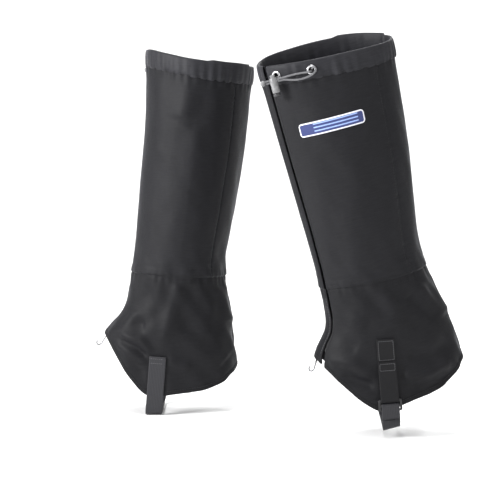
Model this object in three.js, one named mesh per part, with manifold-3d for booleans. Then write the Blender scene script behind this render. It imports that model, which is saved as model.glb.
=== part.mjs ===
// A mirrored pair of knee-high hiking gaiters, in millimetres, +Z up.
//
// The origin is the middle of the top face of the right gaiter's instep strap, where the arch of
// the boot rests. The toes point along -X. The right gaiter stands upright at the origin, and the
// left one is beside it, leaning forward as the rear leg of a step does.
//
// Each gaiter is built in a frame of its own: the origin at its strap seat, -X to the toe, +Y to
// the outer side of the leg. A place on its cloth is given by an angle round the leg (0 at the
// shin, 90 on the outer side, 180 at the calf, 270 on the inner side), a height and an offset
// outward from the inner face of the cloth.

import * as THREE from 'three';
import { mergeVertices } from 'three/addons/utils/BufferGeometryUtils.js';
import Module from 'manifold-3d';

const wasm = await Module();
wasm.setup();

// ---- Driving dimensions ------------------------------------------------------------------

const GAP = 0.3; // between neighbouring pieces
const CLOTH = 1.6; // thickness of a panel, lining included
const RIM_HEIGHT = 476; // of the top edge above the strap seat, before its slope
const LEG_HALF = 50; // half the width across the leg, before its shape
const SEAM_HEIGHT = 186; // where the calf panels meet the ankle panels

const HEM_HEIGHT = 25; // of the drawcord tunnel round the rim
const HEM_INNER = -2.4; // offsets of the tunnel's two faces
const HEM_OUTER = 3;
const HEM_WALL = 1;
const BINDING_HEIGHT = 7; // of the turned lower edge
const BINDING_INNER = -0.4; // offsets of its two faces
const BINDING_OUTER = 2.4;

// Angles round the leg, in degrees.
const FACING_EDGE = 24; // where the inner side's cloth ends and the loop tape shows
const FLAP_EDGE = 30; // free edge of the outer side's cloth
const FLAP_FOLD = 47; // line that the flap folds along
const BACK_SEAM = 135; // outer back seam; the inner one mirrors it
const FLAP_BELOW_HEM = 19;
const FLAP_TOP = RIM_HEIGHT - HEM_HEIGHT - FLAP_BELOW_HEM;
const FOLD_GAP = 0.6;

const TAPE = 1.2; // thickness of the hook tape and of the loop tape
const FACING = 1.4;
const TAPE_END = 8; // the tapes stop this far from the ends of the cloth

const CORD = 2.4; // drawcord diameter
const EYELET_FRONT = 42; // angle of each eyelet
const EYELET_REAR = 76;
const EYELET_FLANGE = 12.5;
const EYELET_HOLE = 7;
const EYELET_WALL = 0.5;
const EYELET_THICK = 1.5;
const EYELET_LIFT = 0.45; // the flat flange stands off the curved hem

const LOCK_OUTER = 9.4; // cord lock
const LOCK_BORE = 7;
const LOCK_TOP = 4.2; // heights measured from the middle of its cord slot
const LOCK_BOTTOM = -15;
const LOCK_SLOT = [CORD + 1, 2 * CORD + 1]; // two strands, one above the other
const LOCK_STANDOFF = 9.6; // from the hem's face to the lock's axis
const LOCK_DROP = 5; // from the eyelets' centre down to the cord slot
const LOCK_TRAVEL = 3; // of its button
const BUTTON_TOP = 7.6;
const BUTTON_BOTTOM = -8;
const LOCK_CAP_HEIGHT = 4;
const SPRING_WIRE = 0.6;
const SPRING_TURNS = 4;
const BEAD = 7;

const WEBBING = 1.4;
const TAB_WIDTH = 23;
const TAB_TOP = 115;
const TAB_BOTTOM = 50;
const LOOP_TOP = 86; // of the loop's outer layer, and the end of its inner one
const LOOP_END = 58;

const BUCKLE_AXIS = 37; // height of the bar that the webbing loop holds
const BUCKLE_STANDOFF = 8; // its mid-plane from the cloth's inner face
const BUCKLE_BAR = 2.4;
const BUCKLE_MIDDLE = 7; // from the top bar's axis down to the middle bar's
const BUCKLE_LOWER = 12.2; // and to the bottom bar's
const BUCKLE_RAIL = 2.8;
const BUCKLE_SLACK = 0.6; // between the webbing's edge and the rails
const FOLD_RADIUS = 2.6; // of webbing folded round a bar, to its middle

const STRAP = 1.6; // instep strap thickness
const STRAP_WIDTH = 22.5;
const STRAP_CORNER = 9; // radius where it turns under the boot
const STRAP_SPLIT = 12; // height where the buckle's end of the strap begins
const STRAP_TAIL = 14; // height of the free end
const STRAP_TOP = 77.5; // of its sewn end on the inner side
const STRAP_RISE = 30; // height where it begins to follow the cloth
const STRAP_SEAT_X = -1;
const OUTER_LEAN = 10.2; // degrees that the webbing leans to the heel, on each side
const INNER_LEAN = 4.4;

const LABEL = [80, 17, 1.2];
const LABEL_PLACE = [81, 391];

const LACE_TAB_TOP = 118;
const LACE_TAB_SET = 1.1; // clearance of the flat tab inside the curved cloth
const LACE_TAB = [12, 26, 1.2];
const HOOK_WIRE = 1.8;
const HOOK_GAP = 0.6; // lets the hook swing at its tab

// Each leg's shape against height: the place of the shin line and of the calf line, and how far
// half the width differs from LEG_HALF. Then how far the rim differs from RIM_HEIGHT at the shin,
// the outer side, the calf and the inner side.
const RIGHT_FIT = {
  front: [
    [20, -84], [60, -77], [107, -66], [136, -43], [160, -35], [223, -26], [309, -19], [396, -11],
    [489, -10],
  ],
  back: [
    [20, 107], [60, 109], [107, 104], [150, 97], [200, 93], [266, 105], [352, 119], [439, 129], [489, 134],
  ],
  half: [[20, -3], [60, -2], [110, 0], [150, 0], [190, 4], [300, 12], [400, 15], [489, 16]],
  rim: [12, -12, -12, -2],
};
const LEFT_FIT = {
  front: [
    [20, -84], [60, -78], [107, -70], [136, -49], [165, -43], [244, -42], [369, -45], [484, -47],
  ],
  back: [
    [20, 107], [60, 109], [101, 106], [123, 101], [166, 94], [208, 91], [269, 99], [328, 108],
    [389, 114], [484, 123],
  ],
  half: [[20, -3], [60, -2], [110, 0], [150, -1], [190, -1], [300, 3], [400, 2], [484, 0]],
  rim: [6, -3, -4, 12],
};
const LEFT_PLACE = { position: [308, -180, 14], pitch: -15, roll: 4 };

// Height of the lower edge against the angle from the shin, the same on both sides of the leg.
const LOWER_EDGE = [
  [0, 104], [20, 99], [35, 86], [50, 64], [62, 44], [74, 26], [84, 22], [95, 25], [125, 31],
  [140, 38], [160, 51], [180, 60],
];

// The two ends of the drawcord outside the rear eyelet: how far towards the eyelet from the cord
// lock, as a share, then outward and upward from the line between them. The last point is inside
// the eyelet. The upper end is nearly straight, and the lower one hangs and loops round the eyelet.
const CORD_LEVEL = 0.16; // the ends run level through the lock, as far as this share
const CORD_EXIT = 3; // from the hem's face to the line, at the eyelet
const UPPER_CORD = [
  [-0.2, 0, 1.4], [-0.07, 0, 1.4], [0.07, 0, 1.4], [0.2, 0, 1.4], [0.35, 0, 1.4], [0.5, 0, 1.2],
  [0.65, 0.2, 0.6], [0.78, 0.5, -0.2], [0.87, 0.9, -0.9], [0.93, 0.9, -1.2], [0.97, -0.4, -1.4],
  [0.985, -2.2, -1.4], [0.985, -3.6, -1.4],
];
const LOWER_CORD = [
  [-0.2, 0, -1.4], [-0.07, 0, -1.4], [0.07, 0, -1.4], [0.16, 0, -1.8], [0.28, 0.4, -3.8],
  [0.42, 0.8, -5.8], [0.57, 1.2, -6.8], [0.72, 1.4, -7.2], [0.87, 1.4, -6.8], [1, 1.4, -5.4],
  [1.09, 1.4, -3], [1.12, 1.3, 0], [1.1, 1, 2], [1.06, 0.5, 2.6], [1.02, -1.5, 1.6],
  [1.015, -3.6, 1.4],
];

// ---- Materials ---------------------------------------------------------------------------

const paint = (color, roughness, metalness = 0) =>
  new THREE.MeshStandardMaterial({ color, roughness, metalness });
const CLOTH_BLACK = () => paint(0x2b2b2f, 0.85);
const TRIM_BLACK = () => paint(0x202024, 0.8);
const TAPE_BLACK = () => paint(0x111113, 1);
const STRAP_GREY = () => paint(0x4b4b50, 0.5);
const PLASTIC_BLACK = () => paint(0x18181a, 0.4);
const PLASTIC_GREY = () => paint(0xa8a8ac, 0.35);
const CORD_GREY = () => paint(0x55555a, 0.7);
const CHROME = () => paint(0xd8d8dc, 0.15, 1);
const LABEL_WHITE = () => paint(0xdfe3ee, 0.6);

// ---- Helpers -----------------------------------------------------------------------------

const radians = THREE.MathUtils.degToRad;
const lerp = THREE.MathUtils.lerp;

// A smooth curve through [at, value] points, straight beyond its ends.
function smooth(points) {
  const slope = (i) => {
    const before = points[Math.max(i - 1, 0)];
    const after = points[Math.min(i + 1, points.length - 1)];
    return (after[1] - before[1]) / (after[0] - before[0]);
  };
  return (at) => {
    let i = points.findIndex((point) => point[0] > at) - 1;
    if (i === -1) return points[0][1] + (at - points[0][0]) * slope(0);
    if (i === -2) {
      i = points.length - 1;
      return points[i][1] + (at - points[i][0]) * slope(i);
    }
    const [from, to] = [points[i], points[i + 1]];
    const span = to[0] - from[0];
    const t = (at - from[0]) / span;
    const s = 1 - t;
    return from[1] * s * s * (1 + 2 * t) + to[1] * t * t * (3 - 2 * t)
      + span * t * s * (s * slope(i) - t * slope(i + 1));
  };
}

// Turns a geometry the right way out if its faces point inward.
function facingOut(geometry) {
  const at = geometry.getAttribute('position');
  const index = geometry.getIndex();
  const corner = (i) => new THREE.Vector3().fromBufferAttribute(at, index.getX(i));
  let volume = 0;
  for (let i = 0; i < index.count; i += 3) {
    volume += corner(i).dot(corner(i + 1).cross(corner(i + 2)));
  }
  if (volume < 0) {
    const turned = Array.from(index.array);
    for (let i = 0; i < turned.length; i += 3) {
      [turned[i], turned[i + 1]] = [turned[i + 1], turned[i]];
    }
    geometry.setIndex(turned);
  }
  geometry.computeVertexNormals();
  return geometry;
}

// A sheet with thickness: place(across, along, layer) gives its points, each number from 0 to 1.
function slab(place, columns, rows) {
  const positions = [];
  for (const layer of [0, 1]) {
    for (let row = 0; row <= rows; row += 1) {
      for (let column = 0; column <= columns; column += 1) {
        positions.push(...place(column / columns, row / rows, layer));
      }
    }
  }
  const wide = columns + 1;
  const layerSize = wide * (rows + 1);
  const at = (column, row, layer) => layer * layerSize + row * wide + column;
  const indices = [];
  const quad = (a, b, c, d) => indices.push(a, b, c, a, c, d);
  for (let row = 0; row < rows; row += 1) {
    for (let column = 0; column < columns; column += 1) {
      quad(at(column, row, 1), at(column + 1, row, 1), at(column + 1, row + 1, 1), at(column, row + 1, 1));
      indices.push(at(column, row, 0), at(column + 1, row + 1, 0), at(column + 1, row, 0));
      indices.push(at(column, row, 0), at(column, row + 1, 0), at(column + 1, row + 1, 0));
    }
  }
  for (let column = 0; column < columns; column += 1) {
    quad(at(column, 0, 0), at(column + 1, 0, 0), at(column + 1, 0, 1), at(column, 0, 1));
    quad(at(column + 1, rows, 0), at(column, rows, 0), at(column, rows, 1), at(column + 1, rows, 1));
  }
  for (let row = 0; row < rows; row += 1) {
    quad(at(0, row + 1, 0), at(0, row, 0), at(0, row, 1), at(0, row + 1, 1));
    quad(at(columns, row, 0), at(columns, row + 1, 0), at(columns, row + 1, 1), at(columns, row, 1));
  }
  const geometry = new THREE.BufferGeometry();
  geometry.setAttribute('position', new THREE.Float32BufferAttribute(positions, 3));
  geometry.setIndex(indices);
  return facingOut(geometry);
}

function solid(geometry) {
  const bare = geometry.clone();
  bare.deleteAttribute('normal');
  bare.deleteAttribute('uv');
  const merged = mergeVertices(bare, 1e-4);
  return new wasm.Manifold(new wasm.Mesh({
    numProp: 3,
    vertProperties: new Float32Array(merged.getAttribute('position').array),
    triVerts: new Uint32Array(merged.getIndex().array),
  }));
}

function surface(body) {
  const mesh = body.getMesh();
  const geometry = new THREE.BufferGeometry();
  geometry.setAttribute('position', new THREE.Float32BufferAttribute(mesh.vertProperties, 3));
  geometry.setIndex(Array.from(mesh.triVerts));
  geometry.computeVertexNormals();
  return geometry;
}

const box = (x, y, z, cx = 0, cy = 0, cz = 0) =>
  new THREE.BoxGeometry(x, y, z).translate(cx, cy, cz);

// A round bar along Z between two heights.
const rod = (diameter, low, high, sides = 20) =>
  new THREE.CylinderGeometry(diameter / 2, diameter / 2, high - low, sides)
    .rotateX(Math.PI / 2)
    .translate(0, 0, (high + low) / 2);

// A round tube along a curve through the points.
function tube(points, diameter, steps, sides = 8) {
  const outline = new THREE.Shape();
  for (let i = 0; i < sides; i += 1) {
    const angle = (2 * Math.PI * i) / sides;
    const move = i === 0 ? 'moveTo' : 'lineTo';
    outline[move]((Math.cos(angle) * diameter) / 2, (Math.sin(angle) * diameter) / 2);
  }
  outline.closePath();
  const path = new THREE.CatmullRomCurve3(points, false, 'centripetal');
  return facingOut(mergeVertices(new THREE.ExtrudeGeometry(outline, {
    steps, bevelEnabled: false, extrudePath: path,
  }).deleteAttribute('normal').deleteAttribute('uv'), 1e-4));
}

// Points along a path in a plane, made of straight runs joined by arcs.
function rounded(corners, radius, steps = 6) {
  const points = [corners[0]];
  for (let i = 1; i < corners.length - 1; i += 1) {
    const into = corners[i].clone().sub(corners[i - 1]).normalize();
    const out = corners[i + 1].clone().sub(corners[i]).normalize();
    const half = into.angleTo(out) / 2;
    const back = radius * Math.tan(half);
    const side = out.clone().sub(into).normalize();
    const centre = corners[i].clone().add(side.multiplyScalar(radius / Math.cos(half)));
    const start = corners[i].clone().sub(into.multiplyScalar(back)).sub(centre);
    const end = corners[i].clone().add(out.multiplyScalar(back)).sub(centre);
    for (let step = 0; step <= steps; step += 1) {
      const t = step / steps;
      const share = [Math.sin((1 - t) * 2 * half), Math.sin(t * 2 * half)];
      points.push(start.clone().multiplyScalar(share[0]).addScaledVector(end, share[1])
        .divideScalar(Math.sin(2 * half)).add(centre));
    }
  }
  points.push(corners[corners.length - 1]);
  return points;
}

// A flat band of webbing whose middle line is a list of [outward, height] points in a plane
// across the leg. lean(height, outward) is how far the band leans to the heel there, in radians.
function band(line, width, thickness, lean = () => 0) {
  return slab((across, along, layer) => {
    const i = Math.round(along * (line.length - 1));
    const before = line[Math.max(i - 1, 0)];
    const after = line[Math.min(i + 1, line.length - 1)];
    const going = after.clone().sub(before).normalize();
    const normal = new THREE.Vector2(-going.y, going.x);
    const at = line[i].clone().addScaledVector(normal, (layer - 0.5) * thickness);
    const aside = (across - 0.5) * width;
    const turn = lean(line[i].y, line[i].x);
    return [
      aside * Math.cos(turn) + at.y * Math.sin(turn), at.x, at.y * Math.cos(turn) - aside * Math.sin(turn),
    ];
  }, 1, line.length - 1);
}

// ---- One gaiter --------------------------------------------------------------------------

function gaiter(side, fit) {
  const group = new THREE.Group();
  const front = smooth(fit.front);
  const back = smooth(fit.back);
  const halfShape = smooth(fit.half);
  const half = (height) => LEG_HALF + halfShape(height);
  const edge = smooth(LOWER_EDGE);

  const add = (name, geometry, material, parent = group) => {
    const mesh = new THREE.Mesh(geometry, material);
    mesh.name = `${side}_${name}`;
    parent.add(mesh);
    return mesh;
  };

  // The cloth: a point at an angle, a height and an offset from its inner face.
  const cloth = (angle, height, offset) => {
    const turn = radians(angle);
    const middle = (front(height) + back(height)) / 2;
    const reach = (back(height) - front(height)) / 2 + offset;
    return [middle - reach * Math.cos(turn), (half(height) + offset) * Math.sin(turn), height];
  };
  const outward = (angle, height) => {
    const turn = radians(angle);
    const reach = (back(height) - front(height)) / 2;
    return new THREE.Vector3(-Math.cos(turn) / reach, Math.sin(turn) / half(height), 0).normalize();
  };
  const rim = (angle) => {
    const turn = radians(angle);
    const [shin, outer, calf, inner] = fit.rim;
    return RIM_HEIGHT + (shin + outer + calf + inner) / 4 + ((shin - calf) / 2) * Math.cos(turn)
      + ((outer - inner) / 2) * Math.sin(turn)
      + ((shin + calf - outer - inner) / 4) * Math.cos(2 * turn);
  };
  const hemBottom = (angle) => rim(angle) - HEM_HEIGHT;
  const lowerEdge = (angle) => {
    const turned = ((angle % 360) + 360) % 360;
    return edge(Math.min(turned, 360 - turned));
  };
  const bindingTop = (angle) => lowerEdge(angle) + BINDING_HEIGHT;

  // A piece of cloth through a list of angles, between two edges, from one offset to another.
  const turns = (from, to, columns) =>
    Array.from({ length: columns + 1 }, (_, column) => lerp(from, to, column / columns));
  const panel = (angles, low, high, inner, outer, rows) => slab((across, along, layer) => {
    const angle = angles[Math.round(across * (angles.length - 1))];
    return cloth(angle, lerp(low(angle), high(angle), along), layer ? outer : inner);
  }, angles.length - 1, rows);
  const at = (height) => () => height;

  const angleGap = 0.3; // degrees, about 0.3 mm along the cloth
  const seamLow = at(SEAM_HEIGHT - GAP / 2);
  const seamHigh = at(SEAM_HEIGHT + GAP / 2);
  const upperTop = (angle) => hemBottom(angle) - GAP;
  const upper = (angles) => panel(angles, seamHigh, upperTop, 0, CLOTH, 9);
  const lower = (angles) => panel(angles, (angle) => bindingTop(angle) + GAP, seamLow, 0, CLOTH, 6);

  // Calf panels. The flap is the front strip of the outer one, below the drawcord hem.
  const outerCloth = solid(upper(turns(FLAP_EDGE, BACK_SEAM - angleGap / 2, 14)));
  const strip = (grow) => solid(panel(
    turns(FLAP_EDGE - 10, FLAP_FOLD + grow, 4), at(SEAM_HEIGHT - 20), at(FLAP_TOP + grow),
    -CLOTH, 3 * CLOTH, 10,
  ));
  add('upper_outer_panel', surface(outerCloth.subtract(strip(FOLD_GAP / 2))), CLOTH_BLACK());
  const flapBlank = outerCloth.intersect(strip(-FOLD_GAP / 2));
  const aboveSeam = solid(box(400, 400, 600, 0, 0, SEAM_HEIGHT + 1 + 300));
  add('front_flap', surface(flapBlank.intersect(aboveSeam)), CLOTH_BLACK());
  const backTurns = turns(BACK_SEAM + angleGap / 2, 360 - BACK_SEAM - angleGap / 2, 8);
  add('upper_back_panel', upper(backTurns), CLOTH_BLACK());
  const shinTurns = turns(360 - BACK_SEAM + angleGap / 2, 360 + FACING_EDGE, 16);
  add('upper_inner_panel', upper(shinTurns), CLOTH_BLACK());

  // Ankle panels, joined up the heel.
  const outerTurns = turns(FLAP_EDGE, 180 - angleGap / 2, 16);
  const innerTurns = turns(180 + angleGap / 2, 360 + FACING_EDGE, 20);
  add('lower_outer_panel', lower(outerTurns), CLOTH_BLACK());
  add('lower_inner_panel', lower(innerTurns), CLOTH_BLACK());
  add('bottom_hem', panel(
    [...outerTurns, ...innerTurns], lowerEdge, bindingTop, BINDING_INNER, BINDING_OUTER, 1,
  ), TRIM_BLACK());

  // The shin closure: hook tape under the flap, loop tape on the facing below it.
  const hookOuter = -GAP;
  const loopOuter = hookOuter - TAPE - GAP;
  const facingOuter = loopOuter - TAPE - GAP;
  const closureLow = (angle) => bindingTop(angle) + TAPE_END;
  const closureTop = (angle) => hemBottom(angle) - TAPE_END;
  const closureTurns = turns(FACING_EDGE - 1, FLAP_FOLD - 1, 3);
  add('hook_tape', panel(
    turns(FLAP_EDGE + 1, FLAP_FOLD - 2, 2), at(SEAM_HEIGHT + TAPE_END), at(FLAP_TOP - TAPE_END),
    hookOuter - TAPE, hookOuter, 9,
  ), TAPE_BLACK());
  add('loop_tape', panel(
    closureTurns, closureLow, closureTop, loopOuter - TAPE, loopOuter, 18,
  ), TAPE_BLACK());
  add('front_facing', panel(
    [FACING_EDGE - 6, ...closureTurns, FLAP_FOLD + 1], closureLow, closureTop,
    facingOuter - FACING, facingOuter, 18,
  ), CLOTH_BLACK());

  // The drawcord hem: a tunnel round the rim, open at its two ends beside the shin closure.
  const hemFrom = FLAP_EDGE;
  const hemTo = 360 + FACING_EDGE;
  const hemBlank = solid(panel(turns(hemFrom, hemTo, 40), hemBottom, rim, HEM_INNER, HEM_OUTER, 1));
  const tunnel = solid(panel(
    turns(hemFrom - 1, hemTo + 1, 40), (angle) => hemBottom(angle) + HEM_WALL,
    (angle) => rim(angle) - HEM_WALL, HEM_INNER + HEM_WALL, HEM_OUTER - HEM_WALL, 1,
  ));
  const eyeletHeight = (angle) => rim(angle) - HEM_HEIGHT / 2;
  const eyeletFrame = (angle) => {
    const frame = new THREE.Group();
    const facing = outward(angle, eyeletHeight(angle));
    frame.position.set(...cloth(angle, eyeletHeight(angle), HEM_OUTER));
    frame.quaternion.setFromUnitVectors(new THREE.Vector3(0, 0, 1), facing);
    frame.updateMatrix();
    return frame;
  };
  const eyeletAngles = { front: EYELET_FRONT, rear: EYELET_REAR };
  let hem = hemBlank.subtract(tunnel);
  for (const angle of Object.values(eyeletAngles)) {
    const hole = rod(EYELET_HOLE + 2 * EYELET_WALL + 2 * GAP, -HEM_WALL * 2.5, HEM_WALL * 3);
    hem = hem.subtract(solid(hole.applyMatrix4(eyeletFrame(angle).matrix)));
  }
  add('top_hem', surface(hem), CLOTH_BLACK());

  // Eyelets: a rolled flange outside the hem and a neck through its wall.
  for (const [name, angle] of Object.entries(eyeletAngles)) {
    const hole = EYELET_HOLE / 2;
    const flange = EYELET_FLANGE / 2;
    const profile = [
      [hole, -HEM_WALL], [hole + EYELET_WALL, -HEM_WALL], [hole + EYELET_WALL, EYELET_LIFT],
      [flange, EYELET_LIFT], [flange - 0.3, EYELET_LIFT + EYELET_THICK * 0.6],
      [(hole + flange) / 2, EYELET_LIFT + EYELET_THICK], [hole + 0.4, EYELET_LIFT + EYELET_THICK * 0.8],
      [hole, EYELET_LIFT + EYELET_THICK * 0.3], [hole, -HEM_WALL],
    ].map(([radius, height]) => new THREE.Vector2(radius, height));
    const ring = facingOut(mergeVertices(
      new THREE.LatheGeometry(profile, 16).deleteAttribute('normal').deleteAttribute('uv'), 1e-4,
    ).rotateX(Math.PI / 2));
    const frame = eyeletFrame(angle);
    group.add(frame);
    add(`eyelet_${name}`, ring, CHROME(), frame);
  }

  // Drawcord inside the tunnel, sewn in at both of its ends.
  const cordLine = [];
  for (let step = 0; step <= 24; step += 1) {
    const angle = lerp(hemFrom + 3, hemTo - 3, step / 24);
    const middle = (HEM_INNER + HEM_OUTER) / 2;
    cordLine.push(new THREE.Vector3(...cloth(angle, eyeletHeight(angle) - 2, middle)));
  }
  add('drawcord', tube(cordLine, CORD, 40), CORD_GREY());

  // The cord lock hangs outside the front eyelet, with the cord's two ends through it.
  const offHem = (angle, drop, distance) => {
    const height = eyeletHeight(angle);
    return new THREE.Vector3(...cloth(angle, height - drop, HEM_OUTER))
      .addScaledVector(outward(angle, height), distance);
  };
  const lockSeat = offHem(EYELET_FRONT, LOCK_DROP, LOCK_STANDOFF);
  const rearExit = offHem(EYELET_REAR, 0, CORD_EXIT);
  const lock = new THREE.Group();
  lock.position.copy(lockSeat);
  lock.rotation.z = Math.atan2(rearExit.y - lockSeat.y, rearExit.x - lockSeat.x);
  group.add(lock);
  const cordSpan = Math.hypot(rearExit.x - lockSeat.x, rearExit.y - lockSeat.y);
  const cordRise = rearExit.z - lockSeat.z;
  const cordSlope = cordRise / (1 - CORD_LEVEL);
  const cordPoint = ([share, out, up]) =>
    new THREE.Vector3(share * cordSpan, out, up + Math.max(share - CORD_LEVEL, 0) * cordSlope);
  const cordEnd = (route) => tube(route.map(cordPoint), CORD, route.length * 2);
  add('drawcord_upper_end', cordEnd(UPPER_CORD), CORD_GREY(), lock);
  add('drawcord_lower_end', cordEnd(LOWER_CORD), CORD_GREY(), lock);
  add('cord_bead', new THREE.SphereGeometry(BEAD / 2, 12, 8)
    .translate(UPPER_CORD[0][0] * cordSpan - BEAD / 2 - GAP, 0, 0), PLASTIC_GREY(), lock);

  const [slotWide, slotTall] = LOCK_SLOT;
  const slot = (low, high) => solid(box(2 * LOCK_OUTER, slotWide, high - low, 0, 0, (high + low) / 2));
  const barrel = solid(rod(LOCK_OUTER, LOCK_BOTTOM, LOCK_TOP))
    .subtract(solid(rod(LOCK_BORE, LOCK_BOTTOM - 1, LOCK_TOP + 1)))
    .subtract(slot(-slotTall / 2, slotTall / 2));
  add('cord_lock_barrel', surface(barrel), PLASTIC_GREY(), lock);
  const cap = rod(LOCK_OUTER, LOCK_BOTTOM - LOCK_CAP_HEIGHT, LOCK_BOTTOM - GAP);
  add('cord_lock_cap', cap, PLASTIC_BLACK(), lock);
  const button = solid(rod(LOCK_BORE - 2 * GAP, BUTTON_BOTTOM, BUTTON_TOP))
    .subtract(slot(-slotTall / 2, slotTall / 2 + LOCK_TRAVEL));
  add('cord_lock_button', surface(button), PLASTIC_GREY(), lock);
  const springLow = LOCK_BOTTOM + SPRING_WIRE / 2 + GAP;
  const springHigh = BUTTON_BOTTOM - SPRING_WIRE / 2 - GAP;
  const springRadius = LOCK_BORE / 2 - 2 * GAP - SPRING_WIRE / 2;
  const coilSteps = SPRING_TURNS * 8;
  const coil = [];
  for (let step = 0; step <= coilSteps; step += 1) {
    const share = step / coilSteps;
    const turn = share * SPRING_TURNS * 2 * Math.PI;
    coil.push(new THREE.Vector3(
      springRadius * Math.cos(turn), springRadius * Math.sin(turn), lerp(springLow, springHigh, share),
    ));
  }
  add('cord_lock_spring', tube(coil, SPRING_WIRE, coilSteps, 6), CHROME(), lock);

  // Webbing tab on the outer side, and the loop that holds the buckle.
  const webbing = new THREE.Group();
  webbing.position.x = STRAP_SEAT_X;
  webbing.rotation.y = radians(OUTER_LEAN);
  group.add(webbing);
  const onFace = (offsets) =>
    offsets.map(([offset, height]) => new THREE.Vector2(half(height) + offset, height));
  const tabOffset = Math.max(CLOTH, BINDING_OUTER) + GAP + WEBBING / 2;
  const tabLine = [];
  for (let step = 0; step <= 6; step += 1) {
    tabLine.push([tabOffset, lerp(TAB_TOP, TAB_BOTTOM, step / 6)]);
  }
  add('webbing_tab', band(onFace(tabLine), TAB_WIDTH, WEBBING), TRIM_BLACK(), webbing);

  const axisOut = half(BUCKLE_AXIS) + BUCKLE_STANDOFF;
  const foldRound = (centreHeight, over) => {
    const points = [];
    for (let step = 0; step <= 8; step += 1) {
      const turn = Math.PI * (step / 8);
      points.push(new THREE.Vector2(
        axisOut + FOLD_RADIUS * Math.cos(turn), centreHeight + over * FOLD_RADIUS * Math.sin(turn),
      ));
    }
    return points;
  };
  const loopOffset = tabOffset + WEBBING + GAP;
  const loopFront = onFace([
    [loopOffset, LOOP_TOP], [loopOffset + 0.2, LOOP_TOP - 12], [loopOffset + 2, LOOP_TOP - 22],
    [loopOffset + 4.2, LOOP_TOP - 34],
  ]);
  const loopBack = onFace([[loopOffset + 0.1, LOOP_END - 10], [loopOffset, LOOP_END]]);
  const loopLine = [...loopFront, ...foldRound(BUCKLE_AXIS, -1), ...loopBack];
  add('webbing_loop', band(loopLine, TAB_WIDTH, WEBBING), TRIM_BLACK(), webbing);

  // Ladder-lock buckle: two rails and three bars, turning on the top bar.
  const buckle = new THREE.Group();
  buckle.position.set(0, axisOut, BUCKLE_AXIS);
  webbing.add(buckle);
  const inside = TAB_WIDTH + 2 * BUCKLE_SLACK;
  const railHigh = BUCKLE_BAR / 2 + 0.2;
  const railLow = -BUCKLE_LOWER - BUCKLE_BAR / 2;
  let frame = solid(rod(BUCKLE_BAR, -inside / 2 - 1, inside / 2 + 1, 12).rotateY(Math.PI / 2));
  for (const height of [-BUCKLE_MIDDLE, -BUCKLE_LOWER]) {
    frame = frame.add(solid(box(inside + 2, BUCKLE_BAR, BUCKLE_BAR, 0, 0, height)));
  }
  for (const end of [-1, 1]) {
    const across = end * (inside + BUCKLE_RAIL) / 2;
    const rail = box(BUCKLE_RAIL, BUCKLE_BAR + 0.6, railHigh - railLow, across, 0, (railHigh + railLow) / 2);
    frame = frame.add(solid(rail));
  }
  add('buckle', surface(frame), PLASTIC_BLACK(), buckle);

  // Instep strap: from the buckle under the boot and up to its sewn end on the inner side.
  const barHeight = BUCKLE_AXIS - BUCKLE_MIDDLE;
  const tailOut = axisOut + FOLD_RADIUS;
  const mainOut = axisOut - FOLD_RADIUS;
  const endLine = [
    new THREE.Vector2(tailOut - 0.8, STRAP_TAIL), new THREE.Vector2(tailOut - 0.2, STRAP_TAIL + 8),
    ...foldRound(barHeight, 1),
    new THREE.Vector2(mainOut, STRAP_SPLIT + 10), new THREE.Vector2(mainOut, STRAP_SPLIT),
  ];
  add('strap_end', band(endLine, STRAP_WIDTH, STRAP), STRAP_GREY(), webbing);

  const innerOffset = Math.max(CLOTH, BINDING_OUTER) + GAP + STRAP / 2;
  const under = -STRAP / 2;
  const innerOut = half(STRAP_RISE) + innerOffset;
  const corners = [
    new THREE.Vector2(mainOut, STRAP_SPLIT - GAP), new THREE.Vector2(mainOut, under),
    new THREE.Vector2(-innerOut, under), new THREE.Vector2(-innerOut, STRAP_RISE - 4),
  ];
  const rising = [];
  for (let step = 1; step <= 5; step += 1) {
    const height = lerp(STRAP_RISE, STRAP_TOP, step / 5);
    rising.push(new THREE.Vector2(-(half(height) + innerOffset), height));
  }
  const strapLine = [...rounded(corners, STRAP_CORNER), ...rising];
  const strapLean = (height, out) => {
    const share = THREE.MathUtils.smoothstep(height, 0, STRAP_CORNER);
    return radians(out > 0 ? OUTER_LEAN : INNER_LEAN) * share;
  };
  const strap = band(strapLine, STRAP_WIDTH, STRAP, strapLean).translate(STRAP_SEAT_X, 0, 0);
  add('instep_strap', strap, STRAP_GREY());

  // Lace hook on a short tab, inside the front corner.
  const hookSeat = new THREE.Group();
  hookSeat.position.set(...cloth(0, LACE_TAB_TOP, BINDING_INNER - LACE_TAB_SET));
  group.add(hookSeat);
  const [tabWide, tabTall, tabThick] = LACE_TAB;
  hookSeat.rotation.y = Math.atan2(front(LACE_TAB_TOP + 6) - front(LACE_TAB_TOP - tabTall + 6), tabTall);
  const tab = box(tabThick, tabWide, tabTall, tabThick / 2, 0, -tabTall / 2);
  add('lace_hook_tab', tab, TRIM_BLACK(), hookSeat);
  const hookRoute = [[0, 0, 0], [0, 0, -7], [-2, 0, -10.5], [-5, 0, -10.5], [-6.5, 0, -7.5], [-6, 0, -4.5]]
    .map(([x, y, z]) => new THREE.Vector3(x + tabThick / 2, y, z - tabTall - HOOK_GAP));
  add('lace_hook', tube(hookRoute, HOOK_WIRE, 12), CHROME(), hookSeat);

  // Label patch, curved with the cloth.
  const [labelWide, labelTall, labelThick] = LABEL;
  const [labelAngle, labelHeight] = LABEL_PLACE;
  const reach = (back(labelHeight) - front(labelHeight)) / 2;
  const labelHalf = THREE.MathUtils.radToDeg(Math.asin(labelWide / 2 / reach));
  add('label_patch', panel(
    turns(labelAngle - labelHalf, labelAngle + labelHalf, 10),
    at(labelHeight - labelTall / 2), at(labelHeight + labelTall / 2),
    CLOTH + GAP, CLOTH + GAP + labelThick, 1,
  ), LABEL_WHITE());

  return group;
}

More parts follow.
